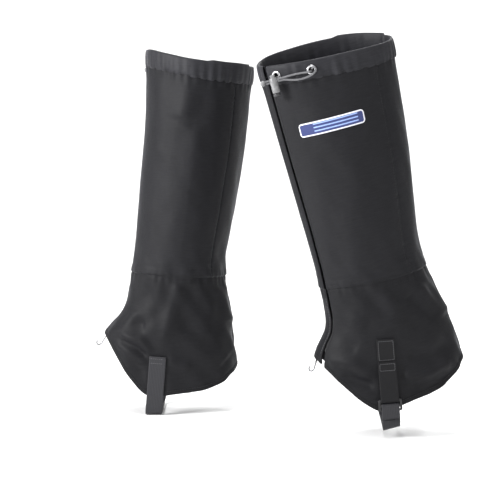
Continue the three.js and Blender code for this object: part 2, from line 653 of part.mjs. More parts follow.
// ---- The pair ----------------------------------------------------------------------------

const pair = new THREE.Group();

pair.add(gaiter('right', RIGHT_FIT));

const left = gaiter('left', LEFT_FIT);
left.position.set(...LEFT_PLACE.position);
left.rotation.set(radians(LEFT_PLACE.roll), radians(LEFT_PLACE.pitch), 0);
left.scale.y = -1; // the other foot
pair.add(left);

export default pair;
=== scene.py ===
# A mirrored pair of knee-high hiking gaiters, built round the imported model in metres, +Z up.
#
# Each gaiter is drawn in a frame of its own, in millimetres, as its CAD source is: the origin is
# the middle of its strap seat, -X the toe, +Y the outer side of the leg. A place on its cloth is
# an angle round the leg (0 shin, 90 outer side, 180 calf, 270 inner side), a height and an offset
# outward from the cloth's inner face. Gaiter.place turns such points into metres in the row frame.

import math

import bmesh
import bpy
import numpy as np
from mathutils import Matrix, Vector


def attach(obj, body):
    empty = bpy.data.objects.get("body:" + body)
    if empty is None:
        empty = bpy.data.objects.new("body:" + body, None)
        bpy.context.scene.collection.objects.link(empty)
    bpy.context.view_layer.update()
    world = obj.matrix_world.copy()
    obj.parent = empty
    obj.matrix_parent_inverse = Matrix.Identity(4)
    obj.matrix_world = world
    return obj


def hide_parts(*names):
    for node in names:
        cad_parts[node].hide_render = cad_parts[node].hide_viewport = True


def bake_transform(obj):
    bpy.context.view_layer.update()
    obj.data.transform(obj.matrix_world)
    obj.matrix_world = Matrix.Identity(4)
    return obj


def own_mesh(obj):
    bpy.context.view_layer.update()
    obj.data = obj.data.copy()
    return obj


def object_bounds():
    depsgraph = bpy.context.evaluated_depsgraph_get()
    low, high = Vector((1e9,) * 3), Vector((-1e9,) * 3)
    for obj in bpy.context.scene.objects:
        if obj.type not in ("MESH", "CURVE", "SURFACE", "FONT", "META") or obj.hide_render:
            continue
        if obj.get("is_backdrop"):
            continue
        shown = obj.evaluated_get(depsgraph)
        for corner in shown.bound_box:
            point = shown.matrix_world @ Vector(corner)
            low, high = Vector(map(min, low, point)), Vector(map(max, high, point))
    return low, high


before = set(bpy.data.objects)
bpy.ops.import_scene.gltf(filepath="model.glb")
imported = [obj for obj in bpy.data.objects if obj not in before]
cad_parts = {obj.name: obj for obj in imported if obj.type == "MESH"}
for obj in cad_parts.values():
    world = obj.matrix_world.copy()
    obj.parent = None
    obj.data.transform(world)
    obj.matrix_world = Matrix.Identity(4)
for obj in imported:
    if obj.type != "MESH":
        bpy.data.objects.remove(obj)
cad_low, cad_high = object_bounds()

MM = 0.001
SIDES = ("right", "left")
# About how many millimetres of cloth one degree round the leg takes up.
DEGREE = 1.1

# ---- Driving dimensions, in millimetres and degrees, as in the CAD source ------------------

GAP = 0.3
CLOTH = 1.6
RIM_HEIGHT = 476
LEG_HALF = 50
SEAM_HEIGHT = 186
SEAM_RISE = 6
HEM_HEIGHT = 25
HEM_INNER, HEM_OUTER, HEM_WALL = -2.4, 3.0, 1.0
HEM_JOIN = 204
BINDING_HEIGHT, BINDING_INNER, BINDING_OUTER = 7, -0.4, 2.4
FACING_EDGE, FLAP_EDGE, FLAP_FOLD, BACK_SEAM = 24, 30, 47, 135
FLAP_TOP = RIM_HEIGHT - HEM_HEIGHT - 19
TAPE, FACING, TAPE_END = 1.2, 1.4, 8
CORD = 2.4
EYELET_FRONT, EYELET_REAR = 42, 76
EYELET_FLANGE, EYELET_HOLE, EYELET_LIFT, EYELET_THICK = 12.5, 7, 0.45, 1.5
LOCK_OUTER, LOCK_BORE, LOCK_TOP, LOCK_BOTTOM = 9.4, 7, 4.2, -15
LOCK_SLOT = (CORD + 1, 2 * CORD + 1)
LOCK_STANDOFF, LOCK_DROP, LOCK_TRAVEL, LOCK_CAP_HEIGHT = 9.6, 5, 3, 4
BUTTON_TOP, BUTTON_BOTTOM, BEAD = 7.6, -8, 7
CORD_LEVEL, CORD_EXIT = 0.27, 3
SPRING_WIRE, SPRING_TURNS = 0.6, 4
WEBBING, TAB_WIDTH, TAB_TOP, TAB_BOTTOM, LOOP_TOP, LOOP_END = 1.4, 23, 115, 50, 86, 58
BUCKLE_AXIS, BUCKLE_STANDOFF, BUCKLE_BAR, BUCKLE_MIDDLE, BUCKLE_LOWER = 37, 8, 2.4, 7, 12.2
BUCKLE_RAIL, BUCKLE_SLACK, FOLD_RADIUS = 2.8, 0.6, 2.6
STRAP, STRAP_WIDTH, STRAP_CORNER, STRAP_SPLIT, STRAP_TAIL = 1.6, 22.5, 9, 12, 14
STRAP_TOP, STRAP_RISE, STRAP_SEAT_X, OUTER_LEAN, INNER_LEAN = 77.5, 30, -1, 10.2, 4.4
# How far the middles of the webbing and the strap stand off the cloth's inner face.
TAB_OFFSET = max(CLOTH, BINDING_OUTER) + GAP + WEBBING / 2
LOOP_OFFSET = TAB_OFFSET + WEBBING + GAP
INNER_OFFSET = max(CLOTH, BINDING_OUTER) + GAP + STRAP / 2
# How far the two rows of thread are from a back seam.
SEAM_ROWS = (5.6, 2.9)
LABEL, LABEL_CORNER = (80, 17, 1.2), 4.0
LABEL_PLACE = (81, 391)
LACE_TAB_TOP, LACE_TAB_SET, LACE_TAB = 118, 1.1, (12, 26, 1.2)
HOOK_WIRE, HOOK_GAP = 1.8, 0.6

FITS = {
    "right": {
        "front": [(20, -84), (60, -77), (107, -66), (136, -43), (160, -35), (223, -26), (309, -19),
                  (396, -11), (489, -10)],
        "back": [(20, 107), (60, 109), (107, 104), (150, 97), (200, 93), (266, 105), (352, 119),
                 (439, 129), (489, 134)],
        "half": [(20, -3), (60, -2), (110, 0), (150, 0), (190, 4), (300, 12), (400, 15), (489, 16)],
        "rim": (12, -12, -12, -2),
        "position": (0, 0, 0), "pitch": 0, "roll": 0, "mirror": 1,
    },
    "left": {
        "front": [(20, -84), (60, -78), (107, -70), (136, -49), (165, -43), (244, -42), (369, -45),
                  (484, -47)],
        "back": [(20, 107), (60, 109), (101, 106), (123, 101), (166, 94), (208, 91), (269, 99),
                 (328, 108), (389, 114), (484, 123)],
        "half": [(20, -3), (60, -2), (110, 0), (150, -1), (190, -1), (300, 3), (400, 2), (484, 0)],
        "rim": (6, -3, -4, 12),
        "position": (308, -180, 14), "pitch": -15, "roll": 4, "mirror": -1,
    },
}
LOWER_EDGE = [(0, 104), (20, 99), (35, 86), (50, 64), (62, 44), (74, 26), (84, 22), (95, 25),
              (125, 31), (140, 38), (160, 51), (180, 60)]

# The cord's two ends outside the rear eyelet: the share of the way to the eyelet from the lock,
# then outward and upward from the line between them.
UPPER_CORD = [
    (-0.2, 0, 1.4), (-0.07, 0, 1.4), (0.07, 0, 1.4), (0.2, 0, 1.4), (0.35, 0, 1.4), (0.5, 0, 1.2),
    (0.65, 0.2, 0.6), (0.78, 0.5, -0.2), (0.87, 0.9, -0.9), (0.93, 0.9, -1.2), (0.97, -0.4, -1.4),
    (0.985, -2.2, -1.4), (0.985, -3.6, -1.4),
]
LOWER_CORD = [
    (-0.2, 0, -1.4), (-0.07, 0, -1.4), (0.07, 0, -1.4), (0.18, 0, -1.4), (0.28, 0, -1.5),
    (0.42, 0.6, -3.8), (0.57, 1.2, -5.8), (0.72, 1.4, -6.8), (0.87, 1.4, -6.6), (1, 1.4, -5.4),
    (1.09, 1.4, -3), (1.12, 1.3, 0), (1.1, 1, 2), (1.06, 0.5, 2.6), (1.02, -1.5, 1.6),
    (1.015, -3.6, 1.4),
]

# Folds of the worn cloth, on each side of the leg: points toward the heel and up from the strap
# seat, then the fold's width and its height. A hollow has a height below zero. All of them are
# drawn FOLD_DEPTH times as tall.
FOLD_DEPTH = 1.6
FOLDS = {
    "outer": [
        ([(-56, 100), (-40, 97), (-24, 90), (-8, 70)], 8, 3.2),
        ([(-44, 78), (-30, 68), (-8, 58)], 6, -2.4),
        ([(28, 60), (54, 55), (91, 59)], 9, 3.2),
        ([(34, 44), (56, 38), (84, 46)], 7, -1.8),
        ([(40, 84), (70, 76), (98, 82)], 10, -1.6),
        ([(76, 166), (86, 148), (102, 116)], 6, 2.6),
        ([(62, 160), (72, 140), (88, 116)], 8, -1.8),
        ([(-46, 136), (-34, 122), (-16, 108)], 9, -1.6),
        ([(-38, 172), (-18, 150), (4, 136)], 10, 1.5),
        ([(30, 178), (38, 150), (34, 122)], 9, 1.3),
    ],
    "inner": [
        ([(-64, 104), (-45, 113), (-18, 140)], 6, 3.0),
        ([(-46, 106), (-18, 100), (-4, 82)], 6, 2.6),
        ([(-50, 118), (-30, 122), (-12, 120)], 8, -1.8),
        ([(-53, 96), (-26, 78), (-10, 67)], 6, 2.4),
        ([(-44, 100), (-24, 88), (-8, 76)], 5, -1.6),
        ([(34, 176), (26, 148), (20, 124), (12, 96)], 9, 2.4),
        ([(52, 176), (48, 140), (40, 108)], 12, -1.6),
        ([(14, 76), (28, 66), (48, 62)], 7, 1.8),
        ([(86, 170), (94, 146), (102, 120)], 6, 2.0),
        ([(60, 110), (78, 84), (96, 70)], 14, 1.8),
        ([(56, 462), (48, 430), (38, 392)], 13, 2.2),
        ([(76, 462), (66, 430), (52, 380)], 14, -2.0),
        ([(4, 452), (10, 400), (6, 340)], 12, 1.6),
    ],
}


# ---- Curves --------------------------------------------------------------------------------

def smooth(points):
    """A smooth curve through (at, value) points, straight beyond its ends."""
    at = np.array([p[0] for p in points], float)
    value = np.array([p[1] for p in points], float)
    before = np.maximum(np.arange(len(at)) - 1, 0)
    after = np.minimum(np.arange(len(at)) + 1, len(at) - 1)
    slope = (value[after] - value[before]) / (at[after] - at[before])

    def curve(x):
        x = np.asarray(x, float)
        i = np.clip(np.searchsorted(at, x, side="right") - 1, 0, len(at) - 2)
        span = at[i + 1] - at[i]
        t = np.clip((x - at[i]) / span, 0, 1)
        s = 1 - t
        inside = (value[i] * s * s * (1 + 2 * t) + value[i + 1] * t * t * (3 - 2 * t)
                  + span * t * s * (s * slope[i] - t * slope[i + 1]))
        below = np.minimum(x - at[0], 0) * slope[0]
        above = np.maximum(x - at[-1], 0) * slope[-1]
        return inside + below + above
    return curve


def eased(curve, reach):
    """The curve with its small corners taken out, by averaging it within reach."""
    return lambda x: (curve(np.asarray(x) - reach) + 2 * curve(x) + curve(np.asarray(x) + reach)) / 4


def fade(x, low, high):
    """0 below low, 1 above high, smooth between. Low may be the larger one."""
    t = np.clip((np.asarray(x, float) - low) / (high - low), 0, 1)
    return t * t * (3 - 2 * t)


def ripples(seed, across, up, scales, count=7):
    """A smooth random height from -1 to 1: waves of chosen lengths across and up the cloth."""
    made = np.random.RandomState(seed)
    total = np.zeros(np.broadcast(across, up).shape)
    for _ in range(count):
        wave = [made.uniform(0.6, 1.5) / scale for scale in scales]
        lean = made.choice([-1, 1])
        total = total + np.sin(2 * np.pi * (wave[0] * across + lean * wave[1] * up)
                               + made.uniform(0, 2 * np.pi))
    return total / math.sqrt(count)


def distance_to(points, x, z):
    """How far places (x, z) are from a line through points, and how far along it, from 0 to 1."""
    best = np.full(np.shape(x), 1e9)
    along = np.zeros(np.shape(x))
    runs = len(points) - 1
    for i in range(runs):
        (ax, az), (bx, bz) = points[i], points[i + 1]
        length2 = (bx - ax) ** 2 + (bz - az) ** 2
        t = np.clip(((x - ax) * (bx - ax) + (z - az) * (bz - az)) / length2, 0, 1)
        d = np.hypot(x - ax - t * (bx - ax), z - az - t * (bz - az))
        nearer = d < best
        best = np.where(nearer, d, best)
        along = np.where(nearer, (i + t) / runs, along)
    return best, along


def run_along(line):
    """How far each point of a line is along it."""
    return np.concatenate([[0], np.cumsum(np.linalg.norm(np.diff(line, axis=0), axis=1))])


def points_at(at, run, line):
    """A line's points at distances along it, where run is how far along its own points are."""
    return np.stack([np.interp(at, run, column) for column in line.T], -1)


def arc(centre, radius, start, step, count):
    """Points round a part of a circle, in count steps of so many degrees."""
    turned = [math.radians(start + step * i) for i in range(count + 1)]
    return [(centre[0] + radius * math.cos(t), centre[1] + radius * math.sin(t)) for t in turned]


def about_y(turn):
    """The matrix that leans Z toward X by turn radians, for points as rows."""
    along, aside = math.cos(turn), math.sin(turn)
    return np.array([[along, 0, -aside], [0, 1, 0], [aside, 0, along]])


def pressed(value, power):
    """A sine or cosine pressed toward 1 or -1, which squares a round section."""
    return math.copysign(abs(value) ** power, value)


def through(points, steps):
    """A smooth line through 2-D or 3-D points, as steps + 1 points spaced evenly along it."""
    p = np.array(points, float)
    ends = np.vstack([2 * p[0] - p[1], p, 2 * p[-1] - p[-2]])
    line = []
    for i in range(len(p) - 1):
        a, b, c, d = ends[i:i + 4]
        for t in np.linspace(0, 1, 12, endpoint=False):
            line.append(0.5 * (2 * b + (c - a) * t + (2 * a - 5 * b + 4 * c - d) * t * t
                               + (3 * b - a - 3 * c + d) * t ** 3))
    line.append(p[-1])
    line = np.array(line)
    run = run_along(line)
    return points_at(np.linspace(0, run[-1], steps + 1), run, line)


# ---- A gaiter's shape ------------------------------------------------------------------------

class Gaiter:
    """One gaiter's curves, its own frame and the relief of its worn cloth."""

    def __init__(self, side):
        fit = FITS[side]
        self.side = side
        self.front = eased(smooth(fit["front"]), 6)
        self.back = eased(smooth(fit["back"]), 9)
        self.half_shape = smooth(fit["half"])
        self.rim_offsets = fit["rim"]
        self.edge = eased(smooth(LOWER_EDGE), 5)
        self.matrix = (Matrix.Rotation(math.radians(fit["roll"]), 3, "X")
                       @ Matrix.Rotation(math.radians(fit["pitch"]), 3, "Y")
                       @ Matrix.Diagonal((1, fit["mirror"], 1)))
        self.position = np.array(fit["position"], float)
        self.seed = 11 if side == "right" else 23
        self.axis_out = float(self.half(BUCKLE_AXIS)) + BUCKLE_STANDOFF

    def half(self, height):
        return LEG_HALF + self.half_shape(height)

    def rim(self, angle):
        turn = np.radians(angle)
        shin, outer, calf, inner = self.rim_offsets
        return (RIM_HEIGHT + (shin + outer + calf + inner) / 4 + (shin - calf) / 2 * np.cos(turn)
                + (outer - inner) / 2 * np.sin(turn)
                + (shin + calf - outer - inner) / 4 * np.cos(2 * turn))

    @staticmethod
    def seam(angle):
        """Where the calf cloth meets the ankle cloth, a little higher at the shin."""
        return SEAM_HEIGHT + SEAM_RISE * (1 + np.cos(np.radians(angle))) / 2

    def hem_bottom(self, angle):
        return self.rim(angle) - HEM_HEIGHT

    def eyelet_height(self, angle):
        return self.rim(angle) - HEM_HEIGHT / 2

    def lower_edge(self, angle):
        turned = np.mod(angle, 360)
        return self.edge(np.minimum(turned, 360 - turned))

    def binding_top(self, angle):
        return self.lower_edge(angle) + BINDING_HEIGHT

    def plain(self, angle, height, offset):
        """Points of the unfolded shape, as the CAD has them."""
        turn = np.radians(angle)
        middle = (self.front(height) + self.back(height)) / 2
        reach = (self.back(height) - self.front(height)) / 2 + offset
        x = middle - reach * np.cos(turn)
        y = (self.half(height) + offset) * np.sin(turn)
        return np.stack(np.broadcast_arrays(x, y, np.asarray(height, float)), -1)

    def outward(self, angle, height):
        turn = math.radians(angle)
        reach = float(self.back(height) - self.front(height)) / 2
        way = np.array([-math.cos(turn) / reach, math.sin(turn) / float(self.half(height)), 0])
        return way / np.linalg.norm(way)

    def relief(self, angle, height):
        """How far the worn cloth stands off its plain shape."""
        angle, height = np.broadcast_arrays(np.asarray(angle, float), np.asarray(height, float))
        at = self.plain(angle, height, 0)
        x, z = at[..., 0], height
        around = angle * DEGREE
        outer = np.sin(np.radians(angle)) > 0
        calf = fade(height, SEAM_HEIGHT - 10, SEAM_HEIGHT + 50)
        lift = ripples(self.seed, around, height, (46, 230)) * (0.5 - 0.1 * calf)
        lift += ripples(self.seed + 1, around, height, (34, 60)) * (0.7 - 0.55 * calf)
        # The crease that the cloth was folded flat along, half way round on both sides.
        for middle, tall in ((92, 2.6), (268, 3.6)):
            off = np.abs(np.mod(angle, 360) - middle) * DEGREE
            lift += tall * calf * np.maximum(0, 1 - off / 36)
        for side, facing in (("outer", outer), ("inner", ~outer)):
            for line, width, tall in FOLDS[side]:
                away, along = distance_to(line, x, z)
                ends = fade(along, -0.02, 0.12) * fade(along, 1.02, 0.88)
                lift += facing * FOLD_DEPTH * tall * np.exp(-(away / width) ** 2) * (0.2 + 0.8 * ends)
        # The webbing holds the cloth flat, and the hem is drawn to the leg.
        lean = np.where(outer, OUTER_LEAN, INNER_LEAN)
        beside = np.abs(x - STRAP_SEAT_X - z * np.sin(np.radians(lean)))
        tab_top = np.where(outer, TAB_TOP, STRAP_TOP)
        held = fade(beside, 20, 12) * fade(z, tab_top + 12, tab_top + 2)
        lift *= 1 - held
        lift *= 0.4 + 0.6 * fade(height, self.hem_bottom(angle) - 2, self.hem_bottom(angle) - 50)
        by_eyelets = fade(angle, 102, 84) * fade(height, self.rim(angle) - 70, self.rim(angle) - 40)
        lift *= 1 - by_eyelets
        near_shin = np.abs(np.mod(angle + 180, 360) - 180)
        lift *= 0.35 + 0.65 * fade(near_shin, 25, 60)
        return np.clip(lift, -5, 6)

    def pucker(self, angle, height):
        """Small gathers beside the sewn lines."""
        along = ripples(self.seed + 2, 0, height, (9, 8), 5)
        near = sum(np.exp(-((np.abs(np.mod(angle, 360) - seam) * DEGREE) / 5.5) ** 2)
                   for seam in (BACK_SEAM, 360 - BACK_SEAM))
        lift = 0.4 * along * near * fade(height, SEAM_HEIGHT - 4, SEAM_HEIGHT + 8)
        across = ripples(self.seed + 3, angle * DEGREE, 0, (11, 9), 5)
        lift += 0.55 * across * np.exp(-((height - self.hem_bottom(angle)) / 9) ** 2)
        lift += 0.4 * across * np.exp(-((height - self.seam(angle) + 6) / 9) ** 2)
        return lift

    def cloth(self, angle, height, offset):
        """Points of the worn cloth."""
        lifted = self.relief(angle, height) + self.pucker(angle, height)
        return self.plain(angle, height, np.asarray(offset, float) + lifted)

    def place(self, points):
        """Gaiter points in millimetres, as row-frame points in metres."""
        turned = np.asarray(points, float) @ np.array(self.matrix).T
        return (turned + self.position) * MM

    def eyelet_place(self, angle):
        """A function like place, for points round an eyelet's middle with Z outward."""
        height = float(self.eyelet_height(angle))
        way = self.outward(angle, height)
        side = np.cross([0, 0, 1], way)
        turned = np.stack([side, np.cross(way, side), way])
        seat = self.plain(angle, height, HEM_OUTER)
        return lambda points: self.place(points @ turned + seat)


# ---- Meshes --------------------------------------------------------------------------------

def add_object(name, data):
    """A new object in the scene, with this data."""
    made = bpy.data.objects.new(name, data)
    bpy.context.scene.collection.objects.link(made)
    return made


def face_out(mesh, weld=False):
    """Turns a mesh's faces outward, once its points that coincide are joined if weld is set."""
    shell = bmesh.new()
    shell.from_mesh(mesh)
    if weld:
        bmesh.ops.remove_doubles(shell, verts=shell.verts, dist=1e-6)
    bmesh.ops.recalc_face_normals(shell, faces=shell.faces)
    shell.to_mesh(mesh)
    shell.free()


def piece(name, points, faces, material, weave=None):
    """A closed mesh with its faces out. weave is each point's place in its cloth, in millimetres."""
    mesh = bpy.data.meshes.new(name)
    mesh.from_pydata(np.asarray(points).reshape(-1, 3).tolist(), [], [list(f) for f in faces])
    if weave is not None:
        values = np.zeros((len(mesh.vertices), 3), np.float32)
        values[:, :weave.shape[1]] = weave
        places = mesh.attributes.new("weave", "FLOAT_VECTOR", "POINT")
        places.data.foreach_set("vector", values.ravel())
    face_out(mesh)
    mesh.materials.append(material)
    mesh.polygons.foreach_set("use_smooth", [True] * len(mesh.polygons))
    return add_object(name, mesh)


def evaluated(thing):
    """A new mesh of an object as it is seen, with its modifiers or its curve worked out."""
    graph = bpy.context.evaluated_depsgraph_get()
    graph.update()
    return bpy.data.meshes.new_from_object(thing.evaluated_get(graph))


def settle(thing):
    """Applies a piece's modifiers."""
    mesh = evaluated(thing)
    thing.modifiers.clear()
    thing.data = mesh


def keep_edges(thing):
    """Leaves a piece's edges square, where it meets its neighbour in one surface."""
    thing.data.set_sharp_from_angle(angle=math.radians(40))


def soften(thing, width, segments=2, angle=40):
    """Rounds a piece's edges by width millimetres."""
    bevel = thing.modifiers.new("edges", "BEVEL")
    bevel.width = width * MM
    bevel.segments = segments
    bevel.limit_method = "ANGLE"
    bevel.angle_limit = math.radians(angle)
    bevel.harden_normals = False
    settle(thing)


def cut(thing, *cutters):
    """Takes the cutters out of a piece, and out of the scene."""
    for cutter in cutters:
        away = thing.modifiers.new("cut", "BOOLEAN")
        away.object = cutter
        away.operation = "DIFFERENCE"
        away.solver = "EXACT"
    settle(thing)
    for cutter in cutters:
        bpy.data.objects.remove(cutter)


def grid_faces(rows, columns, start=0, around=False):
    """Faces of a grid of points stored row by row. around joins the last column to the first."""
    faces = []
    for row in range(rows - 1):
        for column in range(columns - (0 if around else 1)):
            beside = (column + 1) % columns
            a, b = start + row * columns + column, start + row * columns + beside
            faces.append((a, b, b + columns, a + columns))
    return faces


def slab(outer, inner):
    """Points and faces of a sheet between two grids of points."""
    rows, columns = outer.shape[:2]
    count = rows * columns
    points = np.concatenate([outer.reshape(-1, 3), inner.reshape(-1, 3)])
    faces = grid_faces(rows, columns) + [f[::-1] for f in grid_faces(rows, columns, count)]
    border = ([(0, c) for c in range(columns)] + [(r, columns - 1) for r in range(1, rows)]
              + [(rows - 1, c) for c in range(columns - 2, -1, -1)]
              + [(r, 0) for r in range(rows - 2, 0, -1)])
    ring = [r * columns + c for r, c in border]
    for i, a in enumerate(ring):
        b = ring[(i + 1) % len(ring)]
        faces.append((a, a + count, b + count, b))
    return points, faces


def turns(start, stop, spacing=2.2):
    """Angles from start to stop, about spacing millimetres apart along the cloth."""
    return np.linspace(start, stop, max(2, int(abs(stop - start) * DEGREE / spacing)) + 1)


def edge_heights(edge, angles):
    """An edge's heights at angles. The edge is one height, or a function of the angle."""
    return np.broadcast_to(edge(angles) if callable(edge) else edge, angles.shape)


def sheet_grid(low, high, angles, spacing):
    """The angle and height of each point in a grid from the low edge to the high one."""
    bottom, rise = edge_heights(low, angles), edge_heights(high, angles) - edge_heights(low, angles)
    rows = int(np.max(rise) / spacing) + 2
    heights = bottom + rise * np.linspace(0, 1, rows)[:, None]
    return np.broadcast_to(angles, heights.shape), heights


def sheet_piece(name, place, outside, inside, material, across, up):
    """A sheet between two grids of points, with across and up as its weave."""
    points, faces = slab(outside, inside)
    weave = np.stack(np.broadcast_arrays(across, up), -1).reshape(-1, 2)
    return piece(name, place(points), faces, material, np.concatenate([weave, weave]))


def cloth_piece(gaiter, name, angles, low, high, material, inner=0.0, outer=CLOTH, lift=None,
                spacing=2.4, rounded=True):
    """A panel of cloth through angles, from one edge to another, with its flat size and area."""
    angle, height = sheet_grid(low, high, angles, spacing)
    extra = 0 if lift is None else lift(angle, height)
    made = sheet_piece(f"{gaiter.side}_{name}", gaiter.place, gaiter.cloth(angle, height, outer + extra),
                       gaiter.cloth(angle, height, inner + extra), material, angle * DEGREE, height)
    if rounded:
        soften(made, min(0.45, (outer - inner) * 0.35))
    middle = gaiter.plain(angle, height, (inner + outer) / 2)
    diagonal = [middle[1:, 1:] - middle[:-1, :-1], middle[1:, :-1] - middle[:-1, 1:]]
    area = np.linalg.norm(np.cross(*diagonal), axis=-1).sum() / 2
    across = np.linalg.norm(np.diff(middle, axis=1), axis=-1).sum(1).max()
    tall = float(np.max(edge_heights(high, angles)) - np.min(edge_heights(low, angles)))
    return made, (across * MM, tall * MM), area * MM * MM


def sweep(rings):
    """Points and faces of a solid swept through closed rings of points, all the same count."""
    rings = np.asarray(rings)
    count = rings.shape[1]
    faces = grid_faces(len(rings), count, around=True)
    last = (len(rings) - 1) * count
    faces += [tuple(range(count))[::-1], tuple(range(last, last + count))]
    return rings.reshape(-1, 3), faces


def frames_along(line):
    """Two directions square to a 3-D line at each of its points, turning as little as they can."""
    way = np.gradient(line, axis=0)
    way /= np.linalg.norm(way, axis=1)[:, None]
    start = np.array([0, 0, 1.0]) if abs(way[0][2]) < 0.9 else np.array([1.0, 0, 0])
    side = np.cross(way[0], start)
    sides = []
    for step in way:
        side = side - step * (side @ step)
        side = side / np.linalg.norm(side)
        sides.append(side)
    sides = np.array(sides)
    return sides, np.cross(way, sides)


def tube(line, diameter, around=14):
    """Points, faces and weave of a round cord along a line."""
    line = np.asarray(line)
    sides, ups = frames_along(line)
    turn = np.linspace(0, 2 * np.pi, around, endpoint=False)
    ring = sides[:, None] * np.cos(turn)[None, :, None] + ups[:, None] * np.sin(turn)[None, :, None]
    points, faces = sweep(line[:, None] + ring * diameter / 2)
    share = turn / (2 * np.pi)
    weave = np.stack(np.broadcast_arrays(run_along(line)[:, None], share[None]), -1).reshape(-1, 2)
    return points, faces, weave


def spun(profile, around):
    """A ring of points about Z for each (radius, height) of a profile."""
    radius, height = np.array(profile, float).T[:, :, None]
    turn = np.linspace(0, 2 * np.pi, around, endpoint=False)
    return np.stack(np.broadcast_arrays(radius * np.cos(turn), radius * np.sin(turn), height), -1)


def lathe(profile, around):
    """A closed outline of (radius, height) turned about Z."""
    points = spun(profile, around).swapaxes(0, 1).reshape(-1, 3)
    count = len(profile)
    faces = []
    for a in range(around):
        b = (a + 1) % around
        for i in range(count):
            j = (i + 1) % count
            faces.append((a * count + i, b * count + i, b * count + j, a * count + j))
    return points, faces


def turned_solid(profile, around):
    """An outline of (radius, height) that starts and ends on the axis, turned about Z."""
    ends = [[0, 0, profile[0][1]], [0, 0, profile[-1][1]]]
    sides = profile[1:-1]
    points = np.concatenate([spun(sides, around).reshape(-1, 3), ends])
    faces = grid_faces(len(sides), around, around=True)
    first, last = len(points) - 2, len(points) - 1
    top = (len(sides) - 1) * around
    for a in range(around):
        b = (a + 1) % around
        faces.append((first, b, a))
        faces.append((last, top + a, top + b))
    return points, faces


def rounded_end(radius, edge, low, high):
    """An outline of a turned solid, with its two edges rounded."""
    return [(0, low), *arc((radius - edge, low + edge), edge, -90, 22.5, 4),
            *arc((radius - edge, high - edge), edge, 0, 22.5, 4), (0, high)]


def box(size, centre):
    """A plain box, only used to cut with."""
    corners = [[centre[k] + size[k] / 2 * sign[k] for k in range(3)]
               for sign in ((x, y, z) for x in (-1, 1) for y in (-1, 1) for z in (-1, 1))]
    faces = [(0, 1, 3, 2), (4, 6, 7, 5), (0, 4, 5, 1), (2, 3, 7, 6), (0, 2, 6, 4), (1, 5, 7, 3)]
    return np.array(corners), faces


def finish_piece(made, body, slot, *nodes):
    """The piece rides on a body and stands for CAD nodes. Its slot is not used."""
    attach(made, body)
    if nodes:
        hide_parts(*nodes)
    return made


# ---- Materials -------------------------------------------------------------------------------

class Nodes:
    """A small helper that adds nodes to one material."""

    def __init__(self, name):
        self.material = bpy.data.materials.new(name)
        self.material.use_nodes = True
        self.tree = self.material.node_tree
        self.shader = self.tree.nodes["Principled BSDF"]

    def wire(self, socket, value):
        """Links a socket to another one, or gives it a plain value."""
        if hasattr(value, "links"):
            self.tree.links.new(value, socket)
        else:
            socket.default_value = value

    def add(self, kind, values=None, **settings):
        made = self.tree.nodes.new(kind)
        for key, value in settings.items():
            setattr(made, key, value)
        for key, value in (values or {}).items():
            self.wire(made.inputs[key], value)
        return made

    def set(self, **values):
        """Values for the shader's own sockets, by their names with _ for a space."""
        for key, value in values.items():
            self.wire(self.shader.inputs[key.replace("_", " ")], value)

    def math(self, operation, a, b=0.0, clamp=False):
        made = self.add("ShaderNodeMath", {0: a, 1: b}, operation=operation, use_clamp=clamp)
        return made.outputs[0]

    def split(self, vector):
        parts = self.add("ShaderNodeSeparateXYZ", {0: vector})
        return parts.outputs[0], parts.outputs[1]

    def weave(self):
        return self.add("ShaderNodeAttribute", attribute_name="weave").outputs["Vector"]

    def place(self):
        return self.add("ShaderNodeTexCoord").outputs["Object"]

    def noise(self, vector, scale, detail=3.0, roughness=0.5):
        return self.add("ShaderNodeTexNoise", {"Vector": vector, "Scale": scale, "Detail": detail,
                                               "Roughness": roughness}).outputs[0]

    def ramp(self, factor, stops):
        made = self.add("ShaderNodeValToRGB", {0: factor})
        elements = made.color_ramp.elements
        while len(elements) < len(stops):
            elements.new(0.5)
        for element, (at, colour) in zip(elements, stops):
            element.position = at
            element.color = (*colour, 1)
        return made.outputs[0]

    def bump(self, height, strength, distance, under=None):
        values = {"Height": height, "Strength": strength, "Distance": distance}
        if under is not None:
            values["Normal"] = under
        return self.add("ShaderNodeBump", values).outputs[0]

    def mix(self, factor, a, b):
        """Colour a where factor is 0, and colour b where it is 1."""
        made = self.add("ShaderNodeMix", {0: factor}, data_type="RGBA")
        for index, colour in ((6, a), (7, b)):
            self.wire(made.inputs[index], colour if hasattr(colour, "links") else (*colour, 1))
        return made.outputs[2]

    def wave(self, value, period):
        """A wave from 0 to 1 with a period in the value's own units."""
        turned = self.math("MULTIPLY", value, 2 * math.pi / period)
        return self.total((self.math("SINE", turned), 0.5), start=0.5)

    def total(self, *parts, start=0.0, clamp=False):
        """The start plus each value times its share."""
        result = start
        for index, (value, share) in enumerate(parts):
            last = clamp and index == len(parts) - 1
            result = self.math("ADD", self.math("MULTIPLY", value, share), result, clamp=last)
        return result


